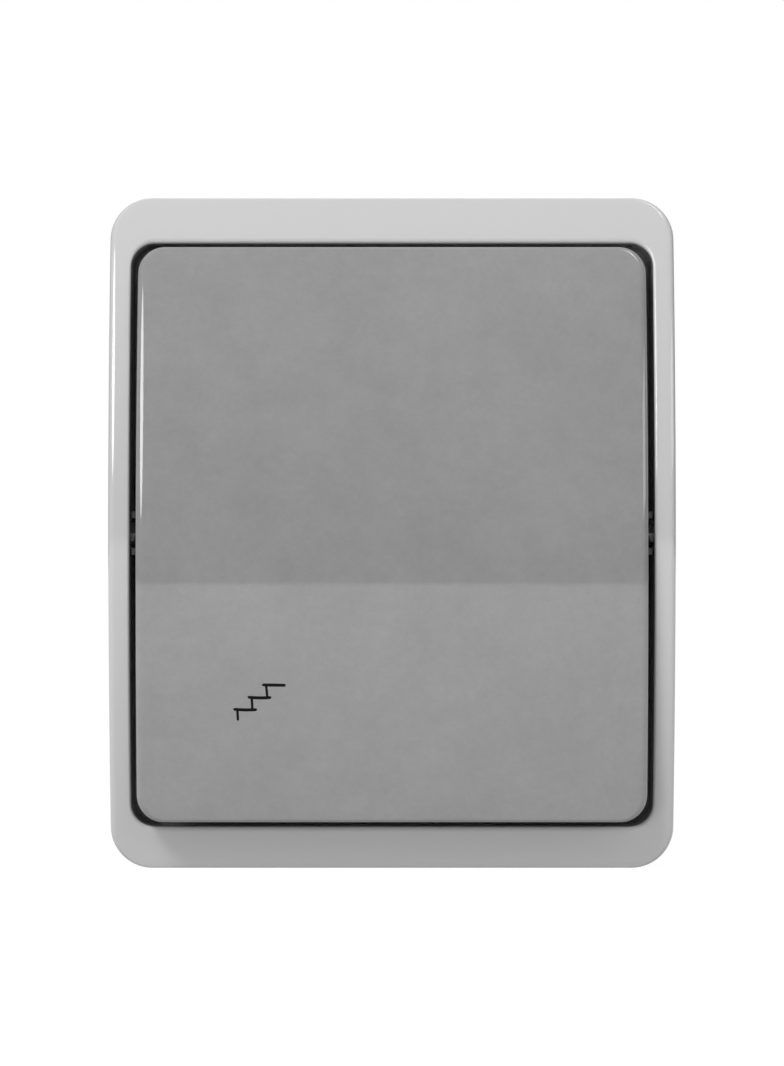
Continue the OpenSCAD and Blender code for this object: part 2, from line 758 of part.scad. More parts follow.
// Coil spring between the plunger's shoulder and the end of the cradle's bore.
module contact_spring() {
    sides = 6;
    per_turn = 14;
    z0 = shoulder_back + shoulder_t + wire_r + 0.05;
    z1 = tube_top - wire_r - 0.05;
    pitch = (z1 - z0) / spring_turns;
    n = spring_turns * per_turn;
    points = [for (i = [0:n]) each wire_ring(i / per_turn, z0, pitch, sides)];
    tube = [for (i = [0:n - 1], k = [0:sides - 1]) let (j = (k + 1) % sides)
        [i * sides + k, i * sides + j, (i + 1) * sides + j, (i + 1) * sides + k]];
    first = [for (k = [sides - 1:-1:0]) k];
    last = [for (k = [0:sides - 1]) n * sides + k];
    color(steel) on_wall() turned(-key_tilt, cradle_axis_d)
        polyhedron(points, concat(tube, [first], [last]), convexity = 10);
}

// Places a wing's own frame: y along the wing, z out of its face, 0 at the valley.
module on_wing(s) {
    translate([0, 0, fulcrum_d]) mirror([0, s < 0 ? 1 : 0, 0])
        translate([0, 0, valley_h]) rotate([blade_tilt, 0, 0]) children();
}

// The contact rocker: two wings and a socket over the round fulcrum.
module contact_rocker() {
    color(brass) on_wall() turned(blade_tilt, fulcrum_d) difference() {
        union() {
            for (s = [-1, 1]) on_wing(s) translate([-blade_x, -0.1, -brass_t])
                cube([2 * blade_x, wing_l + 0.1, brass_t]);
            block(2 * blade_x - 0.2, 2 * socket_y, fulcrum_d - socket_h, fulcrum_d + valley_h - 0.2);
        }
        cross_pin(fulcrum_r + 2 * fit, -body_w / 4, body_w / 4, fulcrum_d);
        for (s = [-1, 1]) on_wing(s) translate([-body_w / 4, -2, 0]) cube([body_w / 2, wing_l + 4, 3]);
    }
}

module moving_tip(s) {
    color(silver) on_wall() turned(blade_tilt, fulcrum_d) on_wing(s)
        translate([0, tip_y, -brass_t]) mirror([0, 0, 1]) tip();
}

module moving_tip_upper() moving_tip(1);
module moving_tip_lower() moving_tip(-1);

base_box();
box_seal();
cable_grommet_top();
cable_grommet_bottom();
cover_frame();
cover_screw_upper();
cover_screw_lower();
insert_body();
insert_cover();
insert_seal();
insert_screw_left();
insert_screw_right();
common_strip();
contact_strip_upper();
contact_strip_lower();
fixed_tip_upper();
fixed_tip_lower();
terminal_cage_common();
terminal_cage_upper();
terminal_cage_lower();
terminal_screw_common();
terminal_screw_upper();
terminal_screw_lower();
rocker_key();
stair_symbol();
cradle();
contact_spring();
spring_plunger();
contact_rocker();
moving_tip_upper();
moving_tip_lower();
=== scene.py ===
# %% [markdown]
# # A surface mounted light switch
# The switch is a grey plastic box for a damp or plain wall: a back box, an arched cover that
# laps over it, and one large rocker key that fills the cover. Its mechanism hangs behind the
# key: an insert with brass terminals, a moulded cradle, and a blade that tips over a fulcrum.
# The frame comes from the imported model, so every piece already has its place, in metres.

# %% The frame
import json
import bpy
import bmesh
import numpy as np
from math import acos, asin, cos, degrees, hypot, pi, radians, sin
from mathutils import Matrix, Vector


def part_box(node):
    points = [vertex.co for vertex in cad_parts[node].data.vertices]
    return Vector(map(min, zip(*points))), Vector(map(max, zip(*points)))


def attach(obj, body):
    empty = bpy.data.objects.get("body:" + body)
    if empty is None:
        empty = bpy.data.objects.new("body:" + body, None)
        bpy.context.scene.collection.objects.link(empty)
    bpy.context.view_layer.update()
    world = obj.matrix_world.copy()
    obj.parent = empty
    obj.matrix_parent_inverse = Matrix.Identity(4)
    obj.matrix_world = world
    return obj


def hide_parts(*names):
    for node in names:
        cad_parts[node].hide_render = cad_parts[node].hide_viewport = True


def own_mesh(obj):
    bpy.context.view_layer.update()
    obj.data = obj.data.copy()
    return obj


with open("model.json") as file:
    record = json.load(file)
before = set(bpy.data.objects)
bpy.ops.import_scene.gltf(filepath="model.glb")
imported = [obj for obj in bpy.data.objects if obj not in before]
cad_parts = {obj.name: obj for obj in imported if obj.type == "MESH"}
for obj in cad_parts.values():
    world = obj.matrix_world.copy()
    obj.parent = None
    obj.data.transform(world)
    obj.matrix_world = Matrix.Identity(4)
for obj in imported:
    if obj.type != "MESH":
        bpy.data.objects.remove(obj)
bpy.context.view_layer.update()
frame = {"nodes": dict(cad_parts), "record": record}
print("nodes in the frame:", len(frame["nodes"]))

# %% [markdown]
# The switch hangs on a wall, but its surfaces are worked out as if it lay on a bench: x to
# the right, y up the wall, z out of the wall, in millimetres. One short function then stands
# them up, so that what came towards us on the bench points along the frame's -Y.

# %% From the bench to the wall
MM = 0.001


def on_wall(points):
    """Bench (x, y, z) in millimetres becomes (x, -z, y) in metres."""
    points = np.asarray(points, float)
    return np.stack((points[..., 0], -points[..., 2], points[..., 1]), axis=-1) * MM


low, high = (np.array(corner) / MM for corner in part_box("cover_frame"))
body_w, body_h = high[0] - low[0], high[2] - low[2]
joint_d, front_d = -high[1], -low[1]
print(f"front {body_w:.1f} x {body_h:.1f} mm, joint at {joint_d:.1f}, crest at {front_d:.1f} mm")

# %% [markdown]
# ## Camera
# The photograph was taken straight on, with a long lens. Near edges and far edges of the box
# fall on each other in it, which puts the camera about half a metre from the key's face.

# %% Camera
face_plane = 42
camera_gap = 500
pixels_per_mm = 8.293
photo_long_side = 1066


def linked(name, data):
    """An object with its data, linked to the scene."""
    made = bpy.data.objects.new(name, data)
    bpy.context.collection.objects.link(made)
    return made


camera = linked("camera", bpy.data.cameras.new("camera"))
camera.location = (0, -(face_plane + camera_gap) * MM, 0)
camera.rotation_euler = (pi / 2, 0, 0)
camera.data.sensor_width = 36
camera.data.lens = 36 * pixels_per_mm * camera_gap / photo_long_side
camera.data.clip_start = 0.01
bpy.context.scene.camera = camera
bpy.context.scene.view_settings.view_transform = "Standard"
print(f"lens {camera.data.lens:.1f} mm")

# %% [markdown]
# ## Surfaces from arrays
# A moulded cover is the same outline again and again, a little smaller or deeper each time.
# So one walk round a rounded rectangle is kept as arrays, and every ring of every shell is
# that walk with its own sizes. Rings laid one after the other become a skin of quads.

# %% The walk round a rounded rectangle
CORNER_STEPS = 14
SIDE_STEPS = 44
END_STEPS = 30


def outline_walk():
    """Arrays (angle, sx, sy) for one walk, anticlockwise from the front: the angle of the
    outward normal and the signs of the point's corner, which change evenly along a side."""
    corners = ((1, 1), (-1, 1), (-1, -1), (1, -1))
    parts = []
    for k, (sx, sy) in enumerate(corners):
        nx, ny = corners[(k + 1) % 4]
        turn = np.linspace(0, pi / 2, CORNER_STEPS + 1) + k * pi / 2
        parts.append((turn, sx + 0 * turn, sy + 0 * turn))
        t = np.linspace(0, 1, (SIDE_STEPS if k % 2 else END_STEPS) + 1)[1:-1]
        parts.append((0 * t + (k + 1) * pi / 2, sx + (nx - sx) * t, sy + (ny - sy) * t))
    return np.concatenate(parts, axis=1)


ANGLE, SX, SY = outline_walk()
print("points in one ring:", ANGLE.size)


def by_side(at_ends, at_sides):
    """A value round the walk: at_ends + (at_sides - at_ends) * cos(angle)^2."""
    return at_ends + (at_sides - at_ends) * np.cos(ANGLE) ** 2


# %% [markdown]
# A ring's depth is one number on a flat face, and on the arched front the height of a circle
# at the ring's y. No edge of a moulding is sharp, so the edges get rings of their own.

# %% Rings
def outline(w, h, r, middle_y=0):
    """A function that gives the ring's x and y at any inset. A corner point is the corner's
    middle plus (r - inset) times (cos angle, sin angle), so an inset keeps the wall even."""
    def at(inset):
        x = SX * (w / 2 - r) + (r - inset) * np.cos(ANGLE)
        y = middle_y + SY * (h / 2 - r) + (r - inset) * np.sin(ANGLE)
        return x, y
    return at


def ring(shape, inset, depth):
    """One ring as an N x 3 array, at one depth."""
    x, y = shape(inset)
    return np.stack((x, y, np.full_like(x, depth)), axis=-1)


def arch(crest, radius):
    """Depth of an arched front at height y: crest - radius + sqrt(radius^2 - y^2)."""
    return lambda y: crest - radius + np.sqrt(radius ** 2 - y ** 2)


def flat(depth):
    """A face at one depth."""
    return lambda y: depth + 0 * y


def rounding(shape, radius, face, turn, reach=1, side=-1):
    """Rings of a rounded edge for the angles t of turn, from 0 at an upright side to pi / 2 on
    a face. Each is reach * radius * (1 - cos t) in from the outline and radius * (1 - sin t)
    behind the face, or in front of it with side 1, as in an inner corner. A negative reach
    goes out from the outline, as the lip of an opening does."""
    rings = []
    for t in turn:
        x, y = shape(reach * radius * (1 - cos(t)))
        rings.append(np.stack((x, y, face(y) + side * radius * (1 - sin(t))), axis=-1))
    return rings


def quarter(steps):
    """Angles of a rounding, from the side to the face."""
    return np.linspace(0, pi / 2, steps + 1)


def spread(first, last, count, face=None):
    """count rings evenly between two others, laid on the face where one is given."""
    rings = [first + (last - first) * k / (count + 1) for k in range(1, count + 1)]
    for each in rings:
        if face is not None:
            each[:, 2] = face(each[:, 1])
    return rings


# %% [markdown]
# A skin is open, closed on itself like a tyre, or shut at an end by a pole. A pole is a fan
# of triangles, and it stays smooth because the face that it lies in is nearly flat.

# %% Skins
def skin(rings, closed=False, first_pole=None, last_pole=None):
    """Points and faces of a stack of rings. Face (i, j) joins points j and j + 1 of ring i to
    the same two of ring i + 1, so it faces out where the rings climb anticlockwise."""
    rings = np.asarray(rings)
    count, around = rings.shape[:2]
    points = rings.reshape(-1, 3)
    row = np.arange(count if closed else count - 1)[:, None] * around
    row_next = (row + around) % (count * around)
    col = np.arange(around)
    col_next = (col + 1) % around
    faces = np.stack((row + col, row + col_next, row_next + col_next, row_next + col), axis=-1)
    faces = faces.reshape(-1, 4).tolist()
    for pole, start, order in ((first_pole, 0, -1), (last_pole, (count - 1) * around, 1)):
        if pole is not None:
            middle = np.full_like(col, len(points))
            fan = np.stack((start + col, start + col_next, middle), axis=-1)
            faces += fan[:, ::order].tolist()
            points = np.vstack((points, pole))
    return points, faces


def together(*surfaces):
    """Several closed surfaces as one: each one's faces count on from the points before it."""
    points = np.vstack([part_points for part_points, _ in surfaces])
    starts = np.cumsum([0] + [len(part_points) for part_points, _ in surfaces])
    faces = [[i + start for i in face]
             for (_, part), start in zip(surfaces, starts) for face in part]
    return points, faces


# %% [markdown]
# Screws, pins, grommets and tips are round, so each is a profile of radius and height carried
# round an axis. A block is two rings of four points.

# %% Turned shapes and blocks
CHAMFER = 0.2


def full_turn(count):
    """count angles, evenly round a circle."""
    return np.linspace(0, 2 * pi, count, endpoint=False)


def polar(radius, a, z):
    """Points (radius * cos a, radius * sin a, z)."""
    return np.stack((radius * np.cos(a), radius * np.sin(a), z + 0 * a), axis=-1)


def turned(profile, around):
    """The rings of a profile of (radius, z)."""
    radius, z = np.hsplit(np.asarray(profile, float), 2)
    return polar(radius, full_turn(around), z)


def lathe(profile, around=64, closed=False):
    """The skin of a turned profile. A radius of 0 at an end becomes a pole, and closed joins
    the last ring to the first, round a bore."""
    poles = [(0, 0, z) if radius == 0 else None for radius, z in (profile[0], profile[-1])]
    return skin(turned([p for p in profile if p[0] > 0], around), closed, *poles)


def rod(radius, low, high, around=64):
    """A closed straight rod along z."""
    return lathe([(0, low), (radius, low), (radius, high), (0, high)], around)


def edge_arc(r, z, radius, start, end, steps=5):
    """Points (r, z) of a small rounding: its middle plus radius times (cos, sin) from the
    start angle to the end angle, in degrees."""
    t = np.radians(np.linspace(start, end, steps + 1))
    return [(r + radius * cos(a), z + radius * sin(a)) for a in t]


def block(low, high):
    """A closed block between two rectangles, each given as (w, h, z) and centred."""
    rings = [[(sx * w / 2, sy * h / 2, z) for sx, sy in ((-1, -1), (1, -1), (1, 1), (-1, 1))]
             for w, h, z in (low, high)]
    points, faces = skin(rings)
    return points, faces + [[3, 2, 1, 0], [4, 5, 6, 7]]


def brick(w, h, low, high):
    """A straight block, centred in x and y, from depth low to depth high."""
    return block((w, h, low), (w, h, high))


def moved(surface, x=0, y=0, z=0, along="z"):
    """A surface turned so that its z axis lies along x, y or z, and then shifted."""
    points, faces = surface
    points = np.roll(points, {"x": 1, "y": 2, "z": 0}[along], axis=1)
    return points + np.array((x, y, z)), faces


def flipped(surface):
    """A surface turned half round about x, so that what pointed up z points down."""
    points, faces = surface
    return points * np.array((1, -1, -1)), faces


# %% [markdown]
# Every finished piece goes through the same last steps: it is stood up, shaded smooth except at
# sharp edges, and told which body it rides on and which node of the frame it stands for.

# %% Making a piece
SHARP = radians(32)
record = frame["record"]
body_of = {node: body for body, nodes in record["behaviour"]["bodies"].items() for node in nodes}


def shade(mesh):
    """Smooth shading, except across sharp edges."""
    mesh.shade_smooth()
    mesh.set_sharp_from_angle(angle=SHARP)


def mesh_object(name, surface):
    """An object from bench points and faces."""
    points, faces = surface
    mesh = bpy.data.meshes.new(name)
    mesh.from_pydata(on_wall(points), [], faces)
    mesh.update()
    shade(mesh)
    return linked(name, mesh)


def fit_piece(piece, material, node):
    """Gives the piece its material, lets it stand for its node and ride."""
    piece.data.materials.clear()
    piece.data.materials.append(material)
    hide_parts(node)
    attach(piece, body_of[node])
    print(f"{piece.name}: {len(piece.data.polygons)} faces, for {node}")
    return piece


def new_piece(name, surface, material, node):
    """A finished piece from a surface."""
    return fit_piece(mesh_object(name, surface), material, node)


# %% [markdown]
# Holes are cut with a Boolean, as a drill or a core in the mould makes them. Pillars and
# other parts that stand on a shell are closed surfaces of their own in the same mesh.

# %% Cutting and adding
def cut_away(piece, *surfaces):
    """Takes closed surfaces out of a piece with one exact Boolean, and applies it."""
    cutter = mesh_object(piece.name + "_cutter", together(*surfaces))
    step = piece.modifiers.new("cut", "BOOLEAN")
    step.operation = "DIFFERENCE"
    step.solver = "EXACT"
    step.object = cutter
    evaluated = piece.evaluated_get(bpy.context.evaluated_depsgraph_get())
    mesh = bpy.data.meshes.new_from_object(evaluated)
    piece.modifiers.remove(step)
    old = piece.data
    piece.data = mesh
    bpy.data.meshes.remove(old)
    bpy.data.objects.remove(cutter)
    shade(mesh)


def add_parts(piece, *surfaces):
    """Joins closed surfaces to a piece's mesh and shades the whole again."""
    extra = mesh_object(piece.name + "_extra", together(*surfaces))
    both = bmesh.new()
    both.from_mesh(piece.data)
    both.from_mesh(extra.data)
    both.to_mesh(piece.data)
    both.free()
    bpy.data.objects.remove(extra)
    shade(piece.data)


# %% [markdown]
# ## Materials
# A material is a net of nodes. One helper adds a node and fills its inputs, and another makes
# a group with the three outputs that every finish of the switch needs.

# %% Nodes and groups
def put(tree, value, socket):
    """Links the value to the socket if it is a socket itself, or else sets it."""
    if isinstance(value, bpy.types.NodeSocket):
        tree.links.new(value, socket)
    else:
        socket.default_value = value


def add_node(tree, kind, *values, **named):
    """A shader node. Names in small letters are settings, and come first. The rest are inputs,
    by name or by place."""
    made = tree.nodes.new("ShaderNode" + kind)
    for label, value in named.items():
        if label[0].islower():
            setattr(made, label, value)
        else:
            put(tree, value, made.inputs[label.replace("_", " ")])
    for place, value in enumerate(values):
        put(tree, value, made.inputs[place])
    return made


def new_group(name, **inputs):
    """A group, its inputs' sockets, and those of its outputs: colour, roughness and height."""
    group = bpy.data.node_groups.new(name, "ShaderNodeTree")
    color, number = "NodeSocketColor", "NodeSocketFloat"
    for label, value in inputs.items():
        kind, label = color if isinstance(value, tuple) else number, label.replace("_", " ")
        socket = group.interface.new_socket(label, in_out="INPUT", socket_type=kind)
        socket.default_value = value
    for label, kind in (("Color", color), ("Roughness", number), ("Height", number)):
        group.interface.new_socket(label, in_out="OUTPUT", socket_type=kind)
    start, end = group.nodes.new("NodeGroupInput"), group.nodes.new("NodeGroupOutput")
    return group, start.outputs, end.inputs


def noise_at(tree, scale, detail, roughness=0.5, stretch=(1, 1, 1)):
    """A noise texture on object coordinates, in waves per metre. It returns its value."""
    where = add_node(tree, "TexCoord").outputs["Object"]
    mapped = add_node(tree, "Mapping", Vector=where, Scale=stretch).outputs["Vector"]
    noise = add_node(tree, "TexNoise", Vector=mapped, Scale=scale, Detail=detail,
                     Roughness=roughness)
    return noise.outputs["Fac"]


def sum_of(tree, first, second, scale):
    """first + (second - 0.5) * scale, where each of the three is a socket or a number."""
    centred = add_node(tree, "Math", second, 0.5, operation="SUBTRACT").outputs[0]
    return add_node(tree, "Math", centred, scale, first, operation="MULTIPLY_ADD").outputs[0]


# %% [markdown]
# Nearly all of the switch is plastic, so the plastics share one group for what changes over a
# moulded surface: a faint cloudiness of the colour, a roughness that wanders a little, and a
# height for the bump.

# %% A group of nodes for moulded plastic
def moulded_group():
    """Colour times (1 + cloud), roughness plus drift, and a height of two fine noises."""
    group, start, end = new_group("moulded plastic", Color=(0.5, 0.5, 0.5, 1), Cloud=0.03,
                                  Roughness=0.2, Drift=0.05, Grain=0.5)
    cloud = noise_at(group, 55, 7, 0.95)
    factor = sum_of(group, 1.0, cloud, start["Cloud"])
    scaled = add_node(group, "VectorMath", start["Color"], operation="SCALE", Scale=factor)
    drift = noise_at(group, 130, 3)
    roughness = sum_of(group, start["Roughness"], drift, start["Drift"])
    ripple = noise_at(group, 220, 2)
    grain = noise_at(group, 4200, 2)
    put(group, scaled.outputs[0], end["Color"])
    put(group, roughness, end["Roughness"])
    put(group, sum_of(group, ripple, grain, start["Grain"]), end["Height"])
    return group


moulded = moulded_group()
print("group:", moulded.name)

# %% [markdown]
# The group feeds colour, roughness and, through a Bump node, the normal of a Principled
# shader. What is the same all over, such as the gloss's refraction, is set on the shader.

# %% Materials around a group
def plain_material(name, **constants):
    """A Principled material with constants set on the shader's own sockets."""
    material = bpy.data.materials.new(name)
    material.use_nodes = True
    shader = material.node_tree.nodes["Principled BSDF"]
    for label, value in constants.items():
        shader.inputs[label.replace("_", " ")].default_value = value
    return material


def grouped_material(name, group, bump, values, constants):
    """A Principled material fed by a group, whose height is worth bump millimetres."""
    material = plain_material(name, **constants)
    tree = material.node_tree
    finish = add_node(tree, "Group", node_tree=group, **values).outputs
    bumps = add_node(tree, "Bump", Height=finish["Height"], Distance=bump * MM)
    shader = tree.nodes["Principled BSDF"].inputs
    put(tree, finish["Color"], shader["Base Color"])
    put(tree, finish["Roughness"], shader["Roughness"])
    put(tree, bumps.outputs["Normal"], shader["Normal"])
    print("material:", name)
    return material


def plastic(name, color, cloud, rough, drift, grain, bump, **constants):
    """A moulded plastic."""
    values = {"Color": (*color, 1), "Cloud": cloud, "Roughness": rough, "Drift": drift,
              "Grain": grain}
    return grouped_material(name, moulded, bump, values, constants)


# %% [markdown]
# Cover and key are the same glossy plastic in two greys. A gloss this even shows every wave of
# its surface, so the bump is kept to a few thousandths of a millimetre. The inner mouldings
# and the rubber are duller and have a coarser grain.

# %% Plastics
plastic_ior = 1.62
housing_grey = plastic("housing grey", (0.60, 0.60, 0.60), 0.03, 0.055, 0.01, 0.1, 0.002,
                       IOR=plastic_ior)
key_grey = plastic("key grey", (0.30, 0.30, 0.30), 0.52, 0.04, 0.01, 0.1, 0.002,
                   IOR=plastic_ior)
insert_black = plastic("insert black", (0.045, 0.047, 0.05), 0.10, 0.42, 0.12, 1.5, 0.03)
cradle_white = plastic("cradle white", (0.62, 0.61, 0.57), 0.05, 0.30, 0.08, 0.5, 0.01)
seal_grey = plastic("seal rubber", (0.10, 0.10, 0.10), 0.15, 0.62, 0.15, 2.0, 0.03)

# %% [markdown]
# The print on the key is one layer of black ink, pressed on by a soft pad. It is a little
# thinner in places, which shows only as a slight change of its roughness.

# %% Ink
sign_ink = plastic("sign ink", (0.004, 0.004, 0.004), 0.3, 0.5, 0.1, 1.0, 0.002,
                   Specular_IOR_Level=0.1)

# %% [markdown]
# The metal parts are stamped brass, zinc plated steel, drawn spring wire and silver. They
# share a second group: long thin streaks from rolling or drawing, and a patchy tarnish.

# %% Metals
def metal_group():
    """Colour mixed towards a tarnish by a soft noise, roughness raised by it and by streaks,
    and the streaks again as height."""
    group, start, end = new_group("worked metal", Color=(0.7, 0.7, 0.7, 1),
                                  Tarnish=(0.4, 0.4, 0.4, 1), Tarnish_Amount=0.3,
                                  Roughness=0.25)
    streaks = noise_at(group, 900, 3, 0.6, (1, 8, 0.08))
    patches = noise_at(group, 260, 4, 0.65)
    amount = sum_of(group, 0.5, patches, start["Tarnish Amount"])
    mix = add_node(group, "Mix", data_type="RGBA", Factor=amount, A=start["Color"],
                   B=start["Tarnish"])
    worn = sum_of(group, start["Roughness"], patches, 0.2)
    put(group, mix.outputs["Result"], end["Color"])
    put(group, sum_of(group, worn, streaks, 0.15), end["Roughness"])
    put(group, streaks, end["Height"])
    return group


worked = metal_group()


def metal(name, color, tarnish, amount, rough, bump=0.004):
    """A worked metal."""
    values = {"Color": (*color, 1), "Tarnish": (*tarnish, 1), "Tarnish Amount": amount,
              "Roughness": rough}
    return grouped_material(name, worked, bump, values, {"Metallic": 1})


stamped_brass = metal("stamped brass", (0.80, 0.58, 0.25), (0.55, 0.36, 0.14), 0.6, 0.24)
silver_face = metal("silver face", (0.88, 0.87, 0.84), (0.60, 0.57, 0.52), 0.4, 0.18)
zinc_steel = metal("zinc plated steel", (0.66, 0.68, 0.71), (0.50, 0.52, 0.57), 0.5, 0.28)
spring_wire = metal("spring wire", (0.48, 0.49, 0.52), (0.36, 0.36, 0.38), 0.4, 0.22)

# %% [markdown]
# ## The cover
# The cover is one shell. Its front is a slice of a cylinder that lies across the switch, so
# it bows up and down but not sideways. Round it goes: up the outside, over a small rounding,
# across the arched face, over the lip and down into the opening, along the deck to the
# window for the mechanism, and back along the inside.

# %% Cover sizes
arch_r = 150
corner_r = 5
side_strip, top_strip, bottom_strip = 2.55, 5.55, 5.05
opening_w = body_w - 2 * side_strip
opening_h = body_h - top_strip - bottom_strip
opening_y = (bottom_strip - top_strip) / 2
opening_r, window_r, foot_r = 2.8, 0.4, 0.3
edge_r = by_side(0.18, 0.75)
lip_r, lip_reach = by_side(0.55, 0.32), by_side(1.35, 1)
deck_d = joint_d + 9
deck_top = deck_d + 1.8
lap_t, lap_d, seam = 0.9, 5, 0.15
pillar_x, pillar_y = body_w / 2 - 9, body_h / 2 - 10.5
window_w, window_h = 28, 32
key_axis_d = deck_top + 5.2
pin_r, pin_in = 1.5, 1.5
print(f"opening {opening_w:.1f} x {opening_h:.1f} mm, pivot axis at {key_axis_d:.1f} mm")


# %% Cover shell
def cover_surface():
    """The cover's section carried round the outline as closed rings."""
    face = arch(front_d, arch_r)
    outer = outline(body_w, body_h, corner_r)
    opening = outline(opening_w, opening_h, opening_r, opening_y)
    window = outline(window_w, window_h, window_r)
    edge = rounding(outer, edge_r, face, quarter(8))
    lip = rounding(opening, lip_r, face, quarter(10)[::-1], -lip_reach)
    foot = rounding(opening, foot_r, flat(deck_top), quarter(3), side=1)
    rings = [ring(outer, seam, joint_d), ring(outer, 0, joint_d + seam)]
    rings += spread(rings[-1], edge[0], 4) + edge
    rings += spread(edge[-1], lip[0], 4, face) + lip
    rings += spread(lip[-1], foot[0], 3) + foot
    rings += spread(foot[-1], ring(window, 0, deck_top), 2)
    rings += [ring(window, 0, deck_top), ring(window, 0, deck_d)]
    rings += [ring(outer, side_strip, deck_d), ring(outer, side_strip, joint_d + lap_d)]
    rings += [ring(outer, lap_t, joint_d + lap_d), ring(outer, lap_t, joint_d)]
    return skin(rings, closed=True)


cover = mesh_object("cover_shell", cover_surface())

# %% [markdown]
# Three kinds of hole are then cut out of the shell: the bearings of the key's pins in the two
# long walls of the opening, the holes for the two cover screws in the deck, and the hollows
# that keep the thick strips above and below the key from sinking as the plastic cools.

# %% Cover holes
core_wall, core_depth, core_inset, screw_hole_r = 1.6, 5, 5, 1.7
core_w = opening_w - 2 * core_inset
bearing_r, near, far = pin_r + 0.05, opening_w / 2 - 1, opening_w / 2 + pin_in + 0.1
screw_hole = rod(screw_hole_r, deck_d - 1, deck_top + 1)
cuts = [moved(rod(bearing_r, *ends), z=key_axis_d, along="x")
        for ends in ((near, far), (-far, -near))]
cuts += [moved(screw_hole, -s * pillar_x, s * pillar_y) for s in (1, -1)]
for s, strip in ((1, top_strip), (-1, bottom_strip)):
    core = brick(core_w, strip - 2 * core_wall, deck_d - 1, deck_d + core_depth)
    cuts.append(moved(core, y=s * (body_h - strip) / 2))
cut_away(cover, *cuts)
fit_piece(cover, housing_grey, "cover_frame")

# %% [markdown]
# ## The key
# The key is a shallow tray with the same arch as the cover, standing a little proud of it. It
# is made level and then tipped, because at rest its upper half is pressed in: that small
# tilt is what turns the reflection of the floor into the bright band on its lower part.

# %% Key sizes
key_tilt = radians(2.5)
key_w, key_h = opening_w - 1.7, opening_h - 1.2
key_r, key_wall, key_edge = 3.25, 2, 0.15
key_round = by_side(0.4, 0.9)
key_crest = front_d + 2
key_back = key_axis_d - 1.85
drive_y, drive_w, drive_t, drive_end = 11, 12, 1.6, 34.95
guide_y, guide_t, guide_proud, guide_root = 2.2, 0.8, 0.66, 0.4
guide_low, guide_top, guide_middle = key_back + 0.4, 44.2, -0.2


def tipped(points, angle=-key_tilt, depth=key_axis_d):
    """Bench points turned by the angle about a line across the switch at that depth."""
    x, y, z = points[..., 0], points[..., 1], points[..., 2] - depth
    turned_y = y * cos(angle) - z * sin(angle)
    turned_z = y * sin(angle) + z * cos(angle)
    return np.stack((x, turned_y, turned_z + depth), axis=-1)


def tilted(surface, depth=key_axis_d):
    """A surface tipped with the key, about a line at that depth."""
    points, faces = surface
    return tipped(points, depth=depth), faces


print(f"key {key_w:.1f} x {key_h:.1f} mm, crest at {key_crest:.1f} mm")


# %% Key shell
def dish(shape, face, scales):
    """Rings of a face that shrink towards its middle: each is the outline times its scale."""
    x, y = shape(0)
    middle = (y.max() + y.min()) / 2
    rings = []
    for s in scales:
        ring_y = middle + s * (y - middle)
        rings.append(np.stack((s * x, ring_y, face(ring_y)), axis=-1))
    return rings, (0, middle, float(face(np.array(middle))))


def key_surface():
    """From the middle of the inside, out and down its wall, under the back edge, up the
    outside, over the rounding and in again to the middle of the face."""
    face = arch(key_crest, arch_r)
    inside = arch(key_crest - key_wall, arch_r - key_wall)
    outer = outline(key_w, key_h, key_r, opening_y)
    inner = outline(key_w - 2 * key_wall, key_h - 2 * key_wall, key_r - key_wall, opening_y)
    under, under_pole = dish(inner, inside, np.linspace(0.1, 1, 8))
    edge = rounding(outer, key_round, face, quarter(10))
    top, top_pole = dish(lambda inset: edge[-1][:, :2].T, face, np.linspace(1, 0.03, 30)[1:])
    rings = under + [ring(inner, 0, key_back)]
    rings += [ring(outer, key_edge, key_back), ring(outer, 0, key_back + key_edge)]
    rings += spread(rings[-1], edge[0], 3) + edge + top
    return skin(rings, first_pole=under_pole, last_pole=top_pole)


# %% [markdown]
# On the key's two long sides sit the pins that it rocks on. A guide rib above and one below
# each pin keep the key centred in the opening, and two blades inside reach down to the
# cradle and drive it.

# %% Pins and ribs
def key_fittings():
    """Pivot pins with a small chamfer, guide ribs beside them and drive ribs inside."""
    parts = []
    start, end = key_w / 2 - 1, opening_w / 2 + pin_in
    drive_top = key_crest - key_wall + 0.05 - drive_y ** 2 / arch_r
    for s in (-1, 1):
        pin = [(0, start), (pin_r, start), (pin_r, end - CHAMFER), (pin_r - CHAMFER, end), (0, end)]
        if s < 0:
            pin = [(r, -z) for r, z in pin[::-1]]
        parts.append(moved(lathe(pin, 48), z=key_axis_d, along="x"))
        rib = brick(guide_proud + guide_root, guide_t, guide_low, guide_top)
        rib_x = s * (key_w / 2 + (guide_proud - guide_root) / 2)
        parts += [moved(rib, rib_x, guide_middle + g * guide_y) for g in (-1, 1)]
        blade = brick(drive_w, drive_t, drive_end + drive_t, drive_top)
        tip = rod(drive_t / 2, -drive_w / 2, drive_w / 2, 32)
        parts.append(moved(blade, y=s * drive_y))
        parts.append(moved(tip, y=s * drive_y, z=drive_end + drive_t, along="x"))
    return parts


key_parts = together(key_surface(), *key_fittings())
new_piece("key_shell", tilted(key_parts), key_grey, "rocker_key")

# %% [markdown]
# ## The sign
# The sign on the key is three treads going down to the left, each with a riser near its left
# end. It looks drawn by hand: strokes with round ends, treads that sag a little and risers
# that lean. Each stroke is a thin ribbon on the key's face, as a printed layer is.

# %% Sign
line_w, riser_w = 0.4, 0.32
tread_l, step_h, step_w, nosing = 2.85, 1.45, 1.72, 0.5
sign_x, sign_y = -15.8, -19.67 + opening_y
print_low, print_high = -0.02, 0.012


